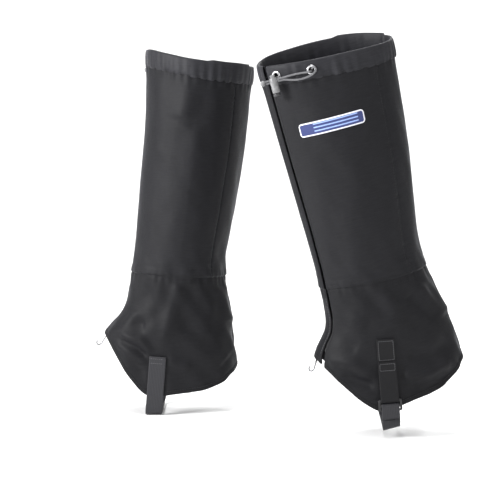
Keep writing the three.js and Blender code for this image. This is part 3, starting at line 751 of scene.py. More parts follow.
def woven(name, dark, light, thread, roughness, sheen):
    """Cloth of crossing threads, thread millimetres apart, with slubs and soft shade changes."""
    made = Nodes(name)
    at = made.weave()
    across, up = made.split(at)
    warp = made.math("SUBTRACT", made.wave(across, thread), 0.5)
    weft = made.math("SUBTRACT", made.wave(up, thread), 0.5)
    threads = made.total((made.math("MULTIPLY", warp, weft), 1.6), start=0.5, clamp=True)
    slub = made.noise(at, 0.9, 4.0, 0.6)
    cloud = made.noise(made.place(), 16.0, 3.0, 0.55)
    drawn = made.add("ShaderNodeVectorMath", {0: at, 1: (0.08, 0.6, 1.0)}, operation="MULTIPLY")
    streak = made.noise(drawn.outputs[0], 1.0, 4.0, 0.65)
    shade = made.total((threads, 0.3), (slub, 0.3), (cloud, 0.3), (streak, 1.1),
                       start=-0.45, clamp=True)
    fine = made.bump(threads, 0.5, 0.00012)
    crumple = made.bump(made.noise(made.place(), 95.0, 4.0, 0.6), 0.4, 0.0011, fine)
    made.set(Base_Color=made.ramp(shade, [(0.2, dark), (0.85, light)]),
             Roughness=made.total((slub, 0.16), start=roughness - 0.08), Normal=crumple,
             Sheen_Weight=sheen, Sheen_Roughness=0.25, Sheen_Tint=(0.72, 0.74, 0.86, 1),
             Specular_IOR_Level=0.17)
    return made.material


def ribbed(name, dark, light, rib, roughness, pick=0.9, coat=0.0):
    """Webbing: ribs across its width, with the herringbone of its threads."""
    made = Nodes(name)
    at = made.weave()
    across, run = made.split(at)
    ribs = made.wave(across, rib)
    picks = made.wave(made.total((ribs, pick * 0.4), start=run), pick)
    height = made.total((ribs, 0.6), (picks, 0.4))
    slub = made.noise(at, 0.8, 3.0, 0.55)
    shade = made.total((height, 0.5), (slub, 0.5))
    made.set(Base_Color=made.ramp(shade, [(0.25, dark), (0.8, light)]),
             Roughness=made.total((slub, 0.2), start=roughness - 0.1),
             Normal=made.bump(height, 0.6, 0.00022),
             Coat_Weight=coat, Coat_Roughness=0.35, Specular_IOR_Level=0.22)
    return made.material


def piled(name, dark, light, scale, strength):
    """Hook or loop tape: a rough pile."""
    made = Nodes(name)
    pile = made.add("ShaderNodeTexVoronoi", {"Vector": made.place(), "Scale": scale}).outputs[0]
    fluff = made.noise(made.place(), scale * 0.5, 4.0, 0.7)
    both = made.total((pile, 0.7), (fluff, 0.4))
    made.set(Base_Color=made.ramp(both, [(0.2, dark), (0.9, light)]), Roughness=0.95,
             Normal=made.bump(both, strength, 0.0006), Sheen_Weight=0.15)
    return made.material


def moulded(name, dark, light, roughness):
    """Plastic with a fine moulded grain and slightly uneven gloss."""
    made = Nodes(name)
    speck = made.noise(made.place(), 900.0, 2.0, 0.5)
    flow = made.noise(made.place(), 120.0, 3.0, 0.5)
    made.set(Base_Color=made.ramp(flow, [(0.3, dark), (0.75, light)]),
             Roughness=made.total((flow, 0.16), start=roughness - 0.08),
             Normal=made.bump(speck, 0.12, 0.0001))
    return made.material


def chromed(name, dark=(0.62, 0.62, 0.64), light=(0.82, 0.82, 0.84)):
    """Plated metal with faint wear."""
    made = Nodes(name)
    wear = made.noise(made.place(), 420.0, 5.0, 0.65)
    made.set(Base_Color=made.ramp(wear, [(0.3, dark), (0.7, light)]),
             Roughness=made.ramp(wear, [(0.35, (0.12, 0.12, 0.12)), (0.75, (0.3, 0.3, 0.3))]),
             Normal=made.bump(wear, 0.05, 0.0001), Metallic=1.0)
    return made.material


def braided(name, dark, light):
    """Round braid: two sets of slanting strands. The weave's first number runs along the cord."""
    made = Nodes(name)
    run, turn = made.split(made.weave())
    strand, spin = 1.2, 4.8
    strands = made.math("MAXIMUM", *[made.wave(made.total((turn, way * spin), start=run), strand)
                                     for way in (1, -1)])
    fleck = made.noise(made.place(), 700.0, 2.0, 0.5)
    shade = made.total((strands, 0.6), (fleck, 0.4))
    made.set(Base_Color=made.ramp(shade, [(0.3, dark), (0.85, light)]), Roughness=0.7,
             Normal=made.bump(strands, 0.7, 0.0003), Sheen_Weight=0.2)
    return made.material


def label_material():
    """A plain blue patch with a pale border and pale stripes."""
    made = Nodes("label")
    across, up = made.split(made.weave())
    border, stripe_period, stripe_middle, stripe_half = 1.7, 4.4, 6.0, 26.0
    squares = []
    for value, size in ((across, LABEL[0]), (up, LABEL[1])):
        over = made.math("SUBTRACT", made.math("ABSOLUTE", value), size / 2 - LABEL_CORNER)
        squares.append(made.math("POWER", made.math("MAXIMUM", over, 0.0), 2.0))
    inset = made.math("SUBTRACT", LABEL_CORNER, made.math("SQRT", made.math("ADD", *squares)))
    inside = made.math("GREATER_THAN", inset, border)
    from_middle = made.math("ABSOLUTE", made.math("SUBTRACT", across, stripe_middle))
    stripe = made.math("MULTIPLY", made.math("GREATER_THAN", made.wave(up, stripe_period), 0.72),
                       made.math("LESS_THAN", from_middle, stripe_half))
    thread = made.wave(made.math("ADD", across, up), 0.5)
    blue = made.mix(made.math("MULTIPLY", thread, 0.35), (0.02, 0.03, 0.13), (0.05, 0.08, 0.26))
    field = made.mix(stripe, blue, (0.3, 0.42, 0.78))
    colour = made.mix(inside, (0.78, 0.78, 0.84), field)
    made.set(Base_Color=colour, Roughness=0.55, Normal=made.bump(thread, 0.5, 0.00015))
    return made.material


CLOTH_LOOK = woven("cloth", (0.0055, 0.0055, 0.0067), (0.0125, 0.0125, 0.015), 0.9, 0.56, 0.14)
ANKLE_LOOK = woven("ankle_cloth", (0.0035, 0.0035, 0.0045), (0.0095, 0.0095, 0.0115), 0.9, 0.56, 0.13)
LINING_LOOK = woven("hem_cloth", (0.013, 0.013, 0.0155), (0.026, 0.026, 0.0305), 0.8, 0.5, 0.16)
TRIM_LOOK = woven("binding", (0.004, 0.004, 0.005), (0.009, 0.009, 0.0105), 0.7, 0.6, 0.12)
TAPE_LOOK = piled("loop_pile", (0.003, 0.003, 0.004), (0.014, 0.014, 0.016), 1500.0, 0.9)
HOOK_LOOK = piled("hook_pile", (0.003, 0.003, 0.003), (0.018, 0.018, 0.02), 900.0, 1.0)
WEBBING_LOOK = ribbed("webbing", (0.0025, 0.0025, 0.0032), (0.008, 0.008, 0.0095), 1.5, 0.6)
STRAP_LOOK = ribbed("coated_strap", (0.016, 0.016, 0.0185), (0.034, 0.034, 0.039), 2.1, 0.5, 1.3, 0.12)
BUCKLE_LOOK = moulded("buckle_plastic", (0.006, 0.006, 0.007), (0.014, 0.014, 0.016), 0.34)
LOCK_GREY_LOOK = moulded("lock_grey", (0.15, 0.15, 0.155), (0.25, 0.25, 0.255), 0.32)
# The lock's dark grey is painted shade, used only on its foot.
LOCK_PAINTED_SHADE_LOOK = moulded("lock_dark", (0.02, 0.02, 0.022), (0.045, 0.045, 0.05), 0.34)
CHROME_LOOK = chromed("chrome")
WIRE_LOOK = chromed("hook_steel", (0.14, 0.14, 0.15), (0.22, 0.22, 0.23))
CORD_LOOK = braided("cord", (0.05, 0.05, 0.055), (0.17, 0.17, 0.18))
THREAD_LOOK = moulded("thread_black", (0.004, 0.004, 0.005), (0.012, 0.012, 0.014), 0.7)
PALE_THREAD_LOOK = moulded("thread_grey", (0.07, 0.07, 0.075), (0.13, 0.13, 0.14), 0.6)
LABEL_LOOK = label_material()


# ---- Camera, floor and light -----------------------------------------------------------------

def make_camera():
    """The photo's view, fitted to points on both gaiters."""
    looks_down = math.radians(4.56)
    camera = add_object("camera", bpy.data.cameras.new("camera"))
    camera.data.lens = 152.4
    camera.data.sensor_width = 36
    camera.location = (0.1285, -2.867, 0.4455)
    camera.rotation_euler = (math.pi / 2 - looks_down, 0, 0)
    camera.data.clip_start = 0.05
    bpy.context.scene.camera = camera


def make_stage():
    """A pale floor that sweeps up into a backdrop."""
    level = cad_low.z - 0.0005
    near, foot, radius, top, side = -5, 2.7, 1, 5, 6
    rise = [(near, level), (foot, level), *arc((foot, level + radius), radius, -84, 6, 14),
            (foot + radius, level + top)]
    points = [(x, y, z) for x in (-side, side) for y, z in rise]
    mesh = bpy.data.meshes.new("floor")
    count = len(rise)
    mesh.from_pydata(points, [], [(i, i + count, i + count + 1, i + 1) for i in range(count - 1)])
    mesh.polygons.foreach_set("use_smooth", [True] * len(mesh.polygons))
    floor = add_object("floor", mesh)
    paint = Nodes("floor_white")
    speck = paint.noise(paint.place(), 3.0, 2.0, 0.5)
    paint.set(Base_Color=paint.ramp(speck, [(0.3, (0.93, 0.93, 0.93)), (0.7, (0.96, 0.96, 0.96))]),
              Roughness=0.8)
    floor.data.materials.append(paint.material)
    floor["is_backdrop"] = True


def make_lights():
    """Round lights, placed and aimed from the middle of the pair, and an even white sky."""
    middle = (cad_low + cad_high) / 2
    for name, place, aim, size, power in (
            ("key", (-1.5, -0.8, 0.6), (0, 0, 0), 0.6, 40),
            ("fill", (1.4, -1.9, 0.9), (0, 0, 0), 1.2, 8),
            ("top", (-0.2, -0.2, 2.1), (0, 0, 0), 1.0, 26),
            ("rim", (0.9, 1.5, 1.3), (0, 0, 0), 1.0, 16),
            ("backdrop", (0, 1.5, 2.4), (0, 3.2, 0), 1.0, 40)):
        light = bpy.data.lights.new(name, "AREA")
        light.shape = "DISK"
        light.size = size
        light.energy = power
        made = add_object(name, light)
        made.location = middle + Vector(place)
        way = middle + Vector(aim) - made.location
        made.rotation_euler = way.to_track_quat("-Z", "Y").to_euler()
    world = bpy.data.worlds.new("studio")
    world.use_nodes = True
    sky = world.node_tree.nodes["Background"]
    sky.inputs["Color"].default_value = (1, 1, 1, 1)
    sky.inputs["Strength"].default_value = 0.7
    bpy.context.scene.world = world
    bpy.context.scene.view_settings.view_transform = "Standard"


# ---- The cord and its lock -----------------------------------------------------------------

class LockFrame:
    """The cord lock's own frame: X toward the rear eyelet, Y away from the leg, Z up."""

    def __init__(self, gaiter):
        def off_hem(angle, drop, distance):
            height = float(gaiter.eyelet_height(angle))
            return (gaiter.plain(angle, height - drop, HEM_OUTER)
                    + gaiter.outward(angle, height) * distance)
        self.gaiter = gaiter
        self.seat = off_hem(EYELET_FRONT, LOCK_DROP, LOCK_STANDOFF)
        way = off_hem(EYELET_REAR, 0, CORD_EXIT) - self.seat
        self.span = math.hypot(way[0], way[1])
        self.rise = way[2]
        turn = math.atan2(way[1], way[0])
        self.turned = np.array([[math.cos(turn), math.sin(turn), 0],
                                [-math.sin(turn), math.cos(turn), 0], [0, 0, 1]])

    def place(self, points):
        return self.gaiter.place(np.asarray(points, float) @ self.turned + self.seat)

    def cord_point(self, share, out, up):
        """A point of the cord, which runs level past the lock and then rises to the eyelet."""
        slope = self.rise / (1 - CORD_LEVEL)
        return (share * self.span, out, up + max(share - CORD_LEVEL, 0) * slope)


def cord_ends(gaiter, lock, bead):
    """The cord's two ends, from the knot through the lock to the rear eyelet."""
    side = gaiter.side
    for name, route in (("upper", UPPER_CORD), ("lower", LOWER_CORD)):
        line = through([lock.cord_point(*point) for point in route], 90)
        points, faces, weave = tube(line, CORD)
        path = lock.place(line)
        made = piece(f"{side}_cord_{name}", lock.place(points), faces, CORD_LOOK, weave)
        finish_piece(made, "root", "cord", f"{side}_drawcord_{name}_end")
        length = float(np.linalg.norm(np.diff(path, axis=0), axis=1).sum())


def cord_bead(gaiter, lock):
    """A two-part bead over the knot, with a groove where its halves snap together."""
    radius, steps = BEAD / 2, 24
    outline = [(0, -radius)]
    for step in range(1, steps):
        turn = math.pi * step / steps
        groove = 0.35 * math.exp(-((step - steps / 2) / 0.9) ** 2)
        outline.append(((radius - groove) * math.sin(turn), -radius * math.cos(turn)))
    outline.append((0, radius))
    points, faces = turned_solid(outline, 36)
    points = points @ about_y(math.radians(24)) + [UPPER_CORD[0][0] * lock.span - radius - GAP, 0, 0]
    made = piece(f"{gaiter.side}_bead", lock.place(points), faces, LOCK_GREY_LOOK)
    return finish_piece(made, "root", "lock_grey", f"{gaiter.side}_cord_bead")


def cut_slot(made, lock, low, high):
    """Cuts the cord's way through a piece of the lock, between two heights."""
    points, faces = box((3 * LOCK_OUTER, LOCK_SLOT[0], high - low), (0, 0, (high + low) / 2))
    cut(made, piece("cutter", lock.place(points), faces, LOCK_GREY_LOOK))


def cord_lock(gaiter, lock):
    """The barrel, its foot darkened as painted shade, and the button."""
    side = gaiter.side
    outer, bore, slot, edge = LOCK_OUTER / 2, LOCK_BORE / 2, LOCK_SLOT[1] / 2, 0.6
    # The barrel swells a little round its slot, and has a collar at its mouth.
    wall = [(bore, LOCK_BOTTOM), (outer - edge, LOCK_BOTTOM), (outer, LOCK_BOTTOM + edge),
            (outer, -8), (outer - 0.25, -7.2), (outer - 0.25, -5.4), (outer, -4.6),
            (outer, LOCK_TOP - 1.6), (outer - 0.2, LOCK_TOP - 1.3), (outer - 0.2, LOCK_TOP - edge),
            (outer - 0.45, LOCK_TOP - 0.15), (outer - edge - 0.2, LOCK_TOP), (bore + 0.3, LOCK_TOP),
            (bore, LOCK_TOP - 0.3)]
    points, faces = lathe(wall, 48)
    barrel = piece(f"{side}_lock_barrel", lock.place(points), faces, LOCK_GREY_LOOK)
    cut_slot(barrel, lock, -slot, slot)
    soften(barrel, 0.3, 2, 50)
    finish_piece(barrel, f"{side}_cord_lock", "lock_grey", f"{side}_cord_lock_barrel")

    # The foot's dark colour is painted shade, standing in for the shadow at the lock's lower end.
    outline = rounded_end(outer, 1.1, LOCK_BOTTOM - LOCK_CAP_HEIGHT, LOCK_BOTTOM - GAP)
    points, faces = turned_solid(outline, 48)
    cap = piece(f"{side}_lock_cap", lock.place(points), faces, LOCK_PAINTED_SHADE_LOOK)
    finish_piece(cap, f"{side}_cord_lock", "lock_dark", f"{side}_cord_lock_cap")

    radius = bore - GAP
    outline = rounded_end(radius, 0.8, BUTTON_BOTTOM, BUTTON_TOP)
    # A shallow dish for the thumb.
    outline[-1:] = [(radius * 0.6, BUTTON_TOP - 0.25), (radius * 0.3, BUTTON_TOP - 0.5),
                    (0, BUTTON_TOP - 0.55)]
    points, faces = turned_solid(outline, 48)
    button = piece(f"{side}_lock_button", lock.place(points), faces, LOCK_GREY_LOOK)
    cut_slot(button, lock, -slot, slot + LOCK_TRAVEL)
    soften(button, 0.2, 2, 50)
    finish_piece(button, f"{side}_lock_button", "lock_grey", f"{side}_cord_lock_button")


def lock_spring(gaiter, lock):
    """The spring under the button."""
    side = gaiter.side
    low = LOCK_BOTTOM + SPRING_WIRE / 2 + GAP
    high = BUTTON_BOTTOM - SPRING_WIRE / 2 - GAP
    radius = LOCK_BORE / 2 - 2 * GAP - SPRING_WIRE / 2
    turn = np.linspace(0, 2 * np.pi * SPRING_TURNS, 20 * SPRING_TURNS + 1)
    rise = np.linspace(low, high, len(turn))
    coil = np.stack([radius * np.cos(turn), radius * np.sin(turn), rise], 1)
    points, faces, _ = tube(coil, SPRING_WIRE, 10)
    spring = piece(f"{side}_lock_spring", lock.place(points), faces, CHROME_LOOK)
    finish_piece(spring, f"{side}_cord_lock", "chrome", f"{side}_cord_lock_spring")
    ends = lock.place([(0, 0, LOCK_BOTTOM), (0, 0, BUTTON_BOTTOM)])
    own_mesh(spring)


def eyelets(gaiter):
    """Two rolled rings, each with a short neck through the hem's wall."""
    hole, flange, low, neck, steps = EYELET_HOLE / 2, EYELET_FLANGE / 2, EYELET_LIFT, 0.5, 20
    outline = [(hole, -HEM_WALL), (hole + neck, -HEM_WALL), (hole + neck, low), (flange - 0.15, low),
               (flange, low + 0.12)]
    middle = (hole + flange) / 2
    for step in range(1, steps):
        turn = math.pi * step / steps
        outline.append((middle + (flange - middle) * math.cos(turn),
                        low + 0.15 + (EYELET_THICK - 0.15) * math.sin(turn) ** 0.7))
    outline.append((hole, low + 0.2))
    points, faces = lathe(outline, 64)
    for name, angle in (("front", EYELET_FRONT), ("rear", EYELET_REAR)):
        ring = piece(f"{gaiter.side}_{name}_eyelet_ring", gaiter.eyelet_place(angle)(points), faces,
                     CHROME_LOOK)
        finish_piece(ring, "root", "chrome", f"{gaiter.side}_eyelet_{name}")


# ---- Cloth ---------------------------------------------------------------------------------

def stitches(gaiter, name, lines, body, look, step=3.4, length=2.3, radius=0.32, shape=None):
    """Threads along lines of (angle, height, offset) on the cloth, as one mesh.

    Each stitch is a short rod of five rings, bowed outward, whose ends sink into the cloth."""
    shape = shape or gaiter.cloth
    sides = 6
    turn = np.linspace(0, 2 * np.pi, sides, endpoint=False)
    # Each ring's place along the stitch, its thickness and its lift.
    rings = [(-0.5, 0.25, -0.25), (-0.34, 0.9, 0.1), (0.0, 1.0, 0.3), (0.34, 0.9, 0.1),
             (0.5, 0.25, -0.25)]
    points, faces = [], []
    for line in lines:
        angle, height, offset = np.asarray(line, float).T
        at = shape(angle, height, offset)
        up = shape(angle, height, offset + 1) - at
        run = run_along(at)
        for start in np.arange(step * 0.5, run[-1] - step * 0.5, step):
            ends = [points_at(start + d, run, at) for d in (-length / 2, length / 2)]
            way = ends[1] - ends[0]
            way = way / np.linalg.norm(way)
            rise = points_at(start, run, up)
            rise = rise - way * (rise @ way)
            rise = rise / np.linalg.norm(rise)
            aside = np.cross(way, rise)
            middle = (ends[0] + ends[1]) / 2
            first = len(points)
            for along, thick, lift in rings:
                centre = middle + way * (along * length) + rise * (lift * radius)
                points += [centre + (aside * math.cos(a) + rise * math.sin(a)) * radius * thick
                           for a in turn]
            last = len(points) - sides
            faces += grid_faces(len(rings), sides, first, around=True)
            faces += [tuple(range(first, first + sides))[::-1], tuple(range(last, last + sides))]
    made = piece(f"{gaiter.side}_{name}", gaiter.place(np.array(points)), faces, look)
    if body:
        finish_piece(made, body, "cloth")
    return made


def seam_dip(angle, height):
    """The cloth dips into its sewn seams, and the calf cloth laps over the ankle cloth."""
    turned = np.mod(angle, 360)
    dip = 0
    for seam in (BACK_SEAM, 360 - BACK_SEAM):
        off = np.abs(turned - seam) * DEGREE
        dip = dip - 0.8 * np.exp(-(off / 1.2) ** 2)
        for beside in SEAM_ROWS:
            dip = dip - 0.5 * np.exp(-((off - beside) / 0.9) ** 2)
    above = height - Gaiter.seam(angle)
    calf = above > -2.9
    dip = dip * (above > 0)
    dip = dip + calf * 1.15 * fade(above, 26, 1)
    dip = dip - calf * 0.7 * np.exp(-((above - 8) / 1.2) ** 2)
    dip = dip - (~calf) * 0.7 * np.exp(-((above + 3.4) / 1.3) ** 2)
    heel = (~calf) * -0.6 * np.exp(-((turned - 180) * DEGREE / 1.3) ** 2)
    return dip + heel


def declare_sheet(flat, area):
    """Takes the smaller of a sheet's area and its flat size, and keeps neither."""
    min(area, flat[0] * flat[1])


def panels(gaiter):
    """The five panels of cloth and the flap."""
    side = gaiter.side
    gap = 0.01
    top = lambda angle: gaiter.hem_bottom(angle) + 1.5
    calf_low = lambda angle: gaiter.seam(angle) - 2.5
    ankle_top = lambda angle: gaiter.seam(angle) + gap
    ankle_low = lambda angle: gaiter.binding_top(angle) - 1.5

    # The outer calf panel is cut away where the flap opens.
    declared_share = 0.94
    angles = np.unique(np.concatenate([turns(FLAP_EDGE, FLAP_FOLD), turns(FLAP_FOLD, BACK_SEAM - gap)]))
    collar, flat, area = cloth_piece(gaiter, "upper_outer_cloth", angles, calf_low, top, CLOTH_LOOK,
                                     lift=seam_dip, rounded=False)
    cut(collar, flap_window(gaiter))
    keep_edges(collar)
    finish_piece(collar, "root", "cloth", f"{side}_upper_outer_panel")
    declare_sheet(flat, area * declared_share)

    inner_end = 360 + FACING_EDGE
    for name, start, stop, low, high, look in (
            ("upper_back", BACK_SEAM + gap, 360 - BACK_SEAM - gap, calf_low, top, CLOTH_LOOK),
            ("upper_inner", 360 - BACK_SEAM + gap, inner_end, calf_low, top, CLOTH_LOOK),
            ("lower_outer", FLAP_EDGE, 180 - gap, ankle_low, ankle_top, ANKLE_LOOK),
            ("lower_inner", 180 + gap, inner_end, ankle_low, ankle_top, ANKLE_LOOK)):
        made, flat, area = cloth_piece(gaiter, f"{name}_cloth", turns(start, stop), low, high, look,
                                       lift=seam_dip)
        finish_piece(made, "root", "cloth", f"{side}_{name}_panel")
        declare_sheet(flat, area)

    # The flap follows the leg, from its edge to its fold.
    flap, flat, area = cloth_piece(gaiter, "flap_cloth", turns(FLAP_EDGE, FLAP_FOLD - 0.03, 1.6),
                                   lambda angle: gaiter.seam(angle) + 1.1, FLAP_TOP - 0.05,
                                   CLOTH_LOOK, lift=seam_dip, rounded=False)
    keep_edges(flap)
    fold_blend(gaiter, flap)
    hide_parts(f"{side}_front_flap")
    declare_sheet(flat, area)


def flap_window(gaiter):
    """What the flap's opening takes out of the outer calf panel."""
    low = lambda angle: gaiter.seam(angle) + 1
    angle, height = sheet_grid(low, FLAP_TOP, turns(FLAP_EDGE - 6, FLAP_FOLD, 4), 8)
    points, faces = slab(gaiter.plain(angle, height, 14), gaiter.plain(angle, height, -12))
    return piece("cutter", gaiter.place(points), faces, CLOTH_LOOK)


def fold_blend(gaiter, made):
    """Bakes a piece's placement into its mesh; the two points it works out, at the fold line and 6
    degrees before it, are not used.
    """
    height = (SEAM_HEIGHT + FLAP_TOP) / 2
    ends = [gaiter.place(gaiter.plain(angle, height, 0)).tolist()
            for angle in (FLAP_FOLD, FLAP_FOLD - 6)]
    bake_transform(made)


def closure(gaiter):
    """The hook tape on the flap, and the loop tape on the facing under it."""
    side = gaiter.side
    hook_outer = -GAP
    loop_outer = hook_outer - TAPE - GAP
    facing_outer = loop_outer - TAPE - GAP
    low = lambda angle: gaiter.binding_top(angle) + TAPE_END
    high = lambda angle: gaiter.hem_bottom(angle) - TAPE_END
    fuzz = lambda angle, height: 0.12 * ripples(gaiter.seed + 5, angle * DEGREE, height, (2.1, 2.3), 9)

    hook, _, _ = cloth_piece(gaiter, "hook_strip", turns(FLAP_EDGE + 1, FLAP_FOLD - 2, 1.6),
                             SEAM_HEIGHT + TAPE_END, FLAP_TOP - TAPE_END, HOOK_LOOK,
                             hook_outer - TAPE, hook_outer, spacing=1.8)
    finish_piece(hook, f"{side}_flap", "tape", f"{side}_hook_tape")
    loop, _, _ = cloth_piece(gaiter, "loop_strip", turns(FACING_EDGE - 1, FLAP_FOLD - 1, 1.3), low,
                             high, TAPE_LOOK, loop_outer - TAPE, loop_outer, lift=fuzz, spacing=1.6)
    finish_piece(loop, "root", "tape", f"{side}_loop_tape")
    facing, flat, area = cloth_piece(gaiter, "facing_cloth", turns(FACING_EDGE - 6, FLAP_FOLD + 1), low,
                                     high, LINING_LOOK, facing_outer - FACING, facing_outer)
    finish_piece(facing, "root", "cloth", f"{side}_front_facing")
    declare_sheet(flat, area)


def top_hem(gaiter):
    """The drawcord tunnel: puffed between its stitches and the rolled rim, open at its ends."""
    angles = turns(FLAP_EDGE, 360 + FACING_EDGE, 1.6)
    around = 24
    half, centre = (HEM_OUTER - HEM_INNER) / 2, (HEM_OUTER + HEM_INNER) / 2
    rings = []
    gather = ripples(gaiter.seed + 6, angles * DEGREE, 0, (13, 9), 6)
    fold = ripples(gaiter.seed + 7, angles * DEGREE, 0, (60, 9), 4)
    near_eyelets = np.minimum.reduce([np.abs(angles - a) for a in (EYELET_FRONT, EYELET_REAR)])
    calm = 0.25 + 0.75 * fade(near_eyelets, 7, 16)
    reliefs = gaiter.relief(angles, gaiter.hem_bottom(angles))
    # The tunnel's own join, on the inner side toward the calf, with one end lapped over the other.
    lapped = fade(angles, HEM_JOIN - 0.8, HEM_JOIN + 0.8) * fade(angles, HEM_JOIN + 58, HEM_JOIN + 50)
    joined = 1.1 * lapped - 1.3 * np.exp(-((angles - HEM_JOIN + 1) / 1.1) ** 2)
    for i, angle in enumerate(angles):
        rim, low = float(gaiter.rim(angle)), float(gaiter.hem_bottom(angle))
        sections = []
        for inset in (0, HEM_WALL * 0.8):
            outline = []
            for step in range(around):
                turn = 2 * math.pi * step / around
                # A tall rounded box, thinner toward the stitches.
                x, y = pressed(math.cos(turn), 0.55), pressed(math.sin(turn), 0.8)
                share = (y + 1) / 2
                puff = 0.45 + 0.55 * math.sin(math.pi * min(share * 0.62 + 0.14, 1))
                puff = min(1, puff + 0.12) if x >= 0 else puff
                wave = calm[i] * (gather[i] * (0.75 * (1 - share) + 0.2) + fold[i] * 0.5)
                offset = centre + (half - inset) * x * puff + wave * (1 if x > 0 else 0.6)
                height = (low + rim) / 2 + (HEM_HEIGHT / 2 - inset) * y + 0.35 * fold[i] * share
                outline.append(gaiter.plain(angle, height + 2.2 * lapped[i] * share,
                                            offset + reliefs[i] + 0.6 * joined[i]))
            sections.append(outline)
        rings.append(sections)
    count = len(angles)
    points = np.array(rings).swapaxes(0, 1).reshape(-1, 3)
    faces = grid_faces(count, around, 0, True)
    faces += [f[::-1] for f in grid_faces(count, around, count * around, True)]
    for end in (0, count - 1):
        for step in range(around):
            a, b = end * around + step, end * around + (step + 1) % around
            faces.append((a, b, b + count * around, a + count * around))
    across = np.tile(np.repeat(angles * DEGREE, around), 2)
    made = piece(f"{gaiter.side}_hem_tunnel", gaiter.place(points), faces, LINING_LOOK,
                 np.stack([across, points[:, 2]], 1))
    hole, faces = turned_solid(rounded_end(EYELET_HOLE / 2 + 0.55, 0.2, -2.3, 3), 32)
    cut(made, *[piece("cutter", gaiter.eyelet_place(angle)(hole), faces, LINING_LOOK)
                for angle in (EYELET_FRONT, EYELET_REAR)])
    finish_piece(made, "root", "cloth", f"{gaiter.side}_top_hem")


def tunnel_cord(gaiter):
    """The drawcord inside the top hem."""
    angles = np.linspace(FLAP_EDGE + 3, 360 + FACING_EDGE - 3, 150)
    middle = (HEM_INNER + HEM_OUTER) / 2 + gaiter.relief(angles, gaiter.hem_bottom(angles))
    line = gaiter.plain(angles, gaiter.eyelet_height(angles) - 2, middle)
    points, faces, weave = tube(line, CORD, 12)
    made = piece(f"{gaiter.side}_tunnel_cord", gaiter.place(points), faces, CORD_LOOK, weave)
    finish_piece(made, "root", "cord", f"{gaiter.side}_drawcord")


def bottom_hem(gaiter):
    """The turned lower edge: a folded band, thick at its fold and thin where it is sewn."""
    angles = turns(FLAP_EDGE, 360 + FACING_EDGE, 1.8)
    middle, half = (BINDING_OUTER + BINDING_INNER) / 2, (BINDING_OUTER - BINDING_INNER) / 2
    rings, weaves = [], []
    wave = ripples(gaiter.seed + 8, angles * DEGREE, 0, (12, 9), 6)
    around = 20
    for i, angle in enumerate(angles):
        low = float(gaiter.lower_edge(angle))
        ring = []
        for step in range(around):
            turn = 2 * math.pi * step / around
            x, y = pressed(math.cos(turn), 0.5), pressed(math.sin(turn), 0.6)
            share = (y + 1) / 2
            sewn = math.exp(-((share - 0.8) / 0.08) ** 2)
            thick = 0.92 + 0.12 * math.cos(math.pi * share) - 0.22 * sewn
            height = low + BINDING_HEIGHT * share + 0.12 * wave[i]
            offset = middle + half * x * thick + 0.15 * wave[i] * share
            ring.append(gaiter.cloth(angle, height, offset))
            weaves.append((angle * DEGREE, height))
        rings.append(ring)
    points, faces = sweep(np.array(rings).reshape(len(angles), around, 3))
    made = piece(f"{gaiter.side}_hem_band", gaiter.place(points), faces, TRIM_LOOK, np.array(weaves))
    finish_piece(made, "root", "trim", f"{gaiter.side}_bottom_hem")


def seams(gaiter):
    """The threads that show on the cloth."""
    proud, last, step = CLOTH + 0.05, 360 + FACING_EDGE, 2.5

    def sewn(angle, height, offset=proud):
        return np.stack(np.broadcast_arrays(angle, height, offset), 1)

    lines = []
    for seam, way in ((BACK_SEAM, -1), (360 - BACK_SEAM, 1)):
        for beside in SEAM_ROWS:
            angle = seam + way * beside / DEGREE
            up = np.arange(gaiter.seam(angle) + 2, gaiter.hem_bottom(angle), step)
            lines.append(sewn(angle, up, proud + seam_dip(angle, up)))
    across = np.arange(FLAP_FOLD + 1, last - 2, 2.2)
    level = gaiter.seam(across) + 8
    lines.append(sewn(across, level, proud + seam_dip(across, level)))
    across = np.arange(FLAP_EDGE + 3, last - 2, 2.0)
    lines.append(sewn(across, gaiter.lower_edge(across) + BINDING_HEIGHT - 1.4, BINDING_OUTER - 0.25))
    across = np.arange(FLAP_EDGE + 2, last - 1, 2.0)
    wander = 0.5 * ripples(gaiter.seed + 9, across * DEGREE, 0, (40, 9), 4)
    lines.append(sewn(across, gaiter.hem_bottom(across) + 1.9 + wander, CLOTH + 0.55))
    # The loop tape is sewn down beside the inner side's cloth edge.
    beside_edge = last - 2.4
    lines.append(sewn(beside_edge, np.arange(SEAM_HEIGHT + 2, gaiter.hem_bottom(20) - 2, step)))
    pale = [sewn(beside_edge, np.arange(gaiter.binding_top(20) + 3, SEAM_HEIGHT - 5, step))]
    flap_lines = [sewn(FLAP_EDGE + 1.8, np.arange(SEAM_HEIGHT + 6, FLAP_TOP - 4, step))]
    stitches(gaiter, "stitching", lines, "root", THREAD_LOOK)
    stitches(gaiter, "pale_stitching", pale, "root", PALE_THREAD_LOOK)
    flap = stitches(gaiter, "flap_stitching", flap_lines, None, THREAD_LOOK)
    fold_blend(gaiter, flap)


def label(gaiter):
    """The patch, whose two ends have rounded corners."""
    wide, tall, thick = LABEL
    angle, height = LABEL_PLACE
    reach = float(gaiter.back(height) - gaiter.front(height)) / 2
    half_turn = math.degrees(math.asin(wide / 2 / reach))
    columns, rows = 60, 14
    angles = np.linspace(angle - half_turn, angle + half_turn, columns)
    across = np.linspace(-wide / 2, wide / 2, columns)
    over = np.maximum(np.abs(across) - (wide / 2 - LABEL_CORNER), 0)
    half = tall / 2 - LABEL_CORNER + np.sqrt(np.maximum(LABEL_CORNER ** 2 - over ** 2, 0.16))
    up = np.linspace(-1, 1, rows)[:, None] * half
    turned = np.broadcast_to(angles, up.shape)
    base = CLOTH + GAP
    outside, inside = [gaiter.cloth(turned, height + up, offset) for offset in (base + thick, base)]
    made = sheet_piece(f"{gaiter.side}_label", gaiter.place, outside, inside, LABEL_LOOK, across, up)
    soften(made, 0.4)
    finish_piece(made, "root", "label", f"{gaiter.side}_label_patch")


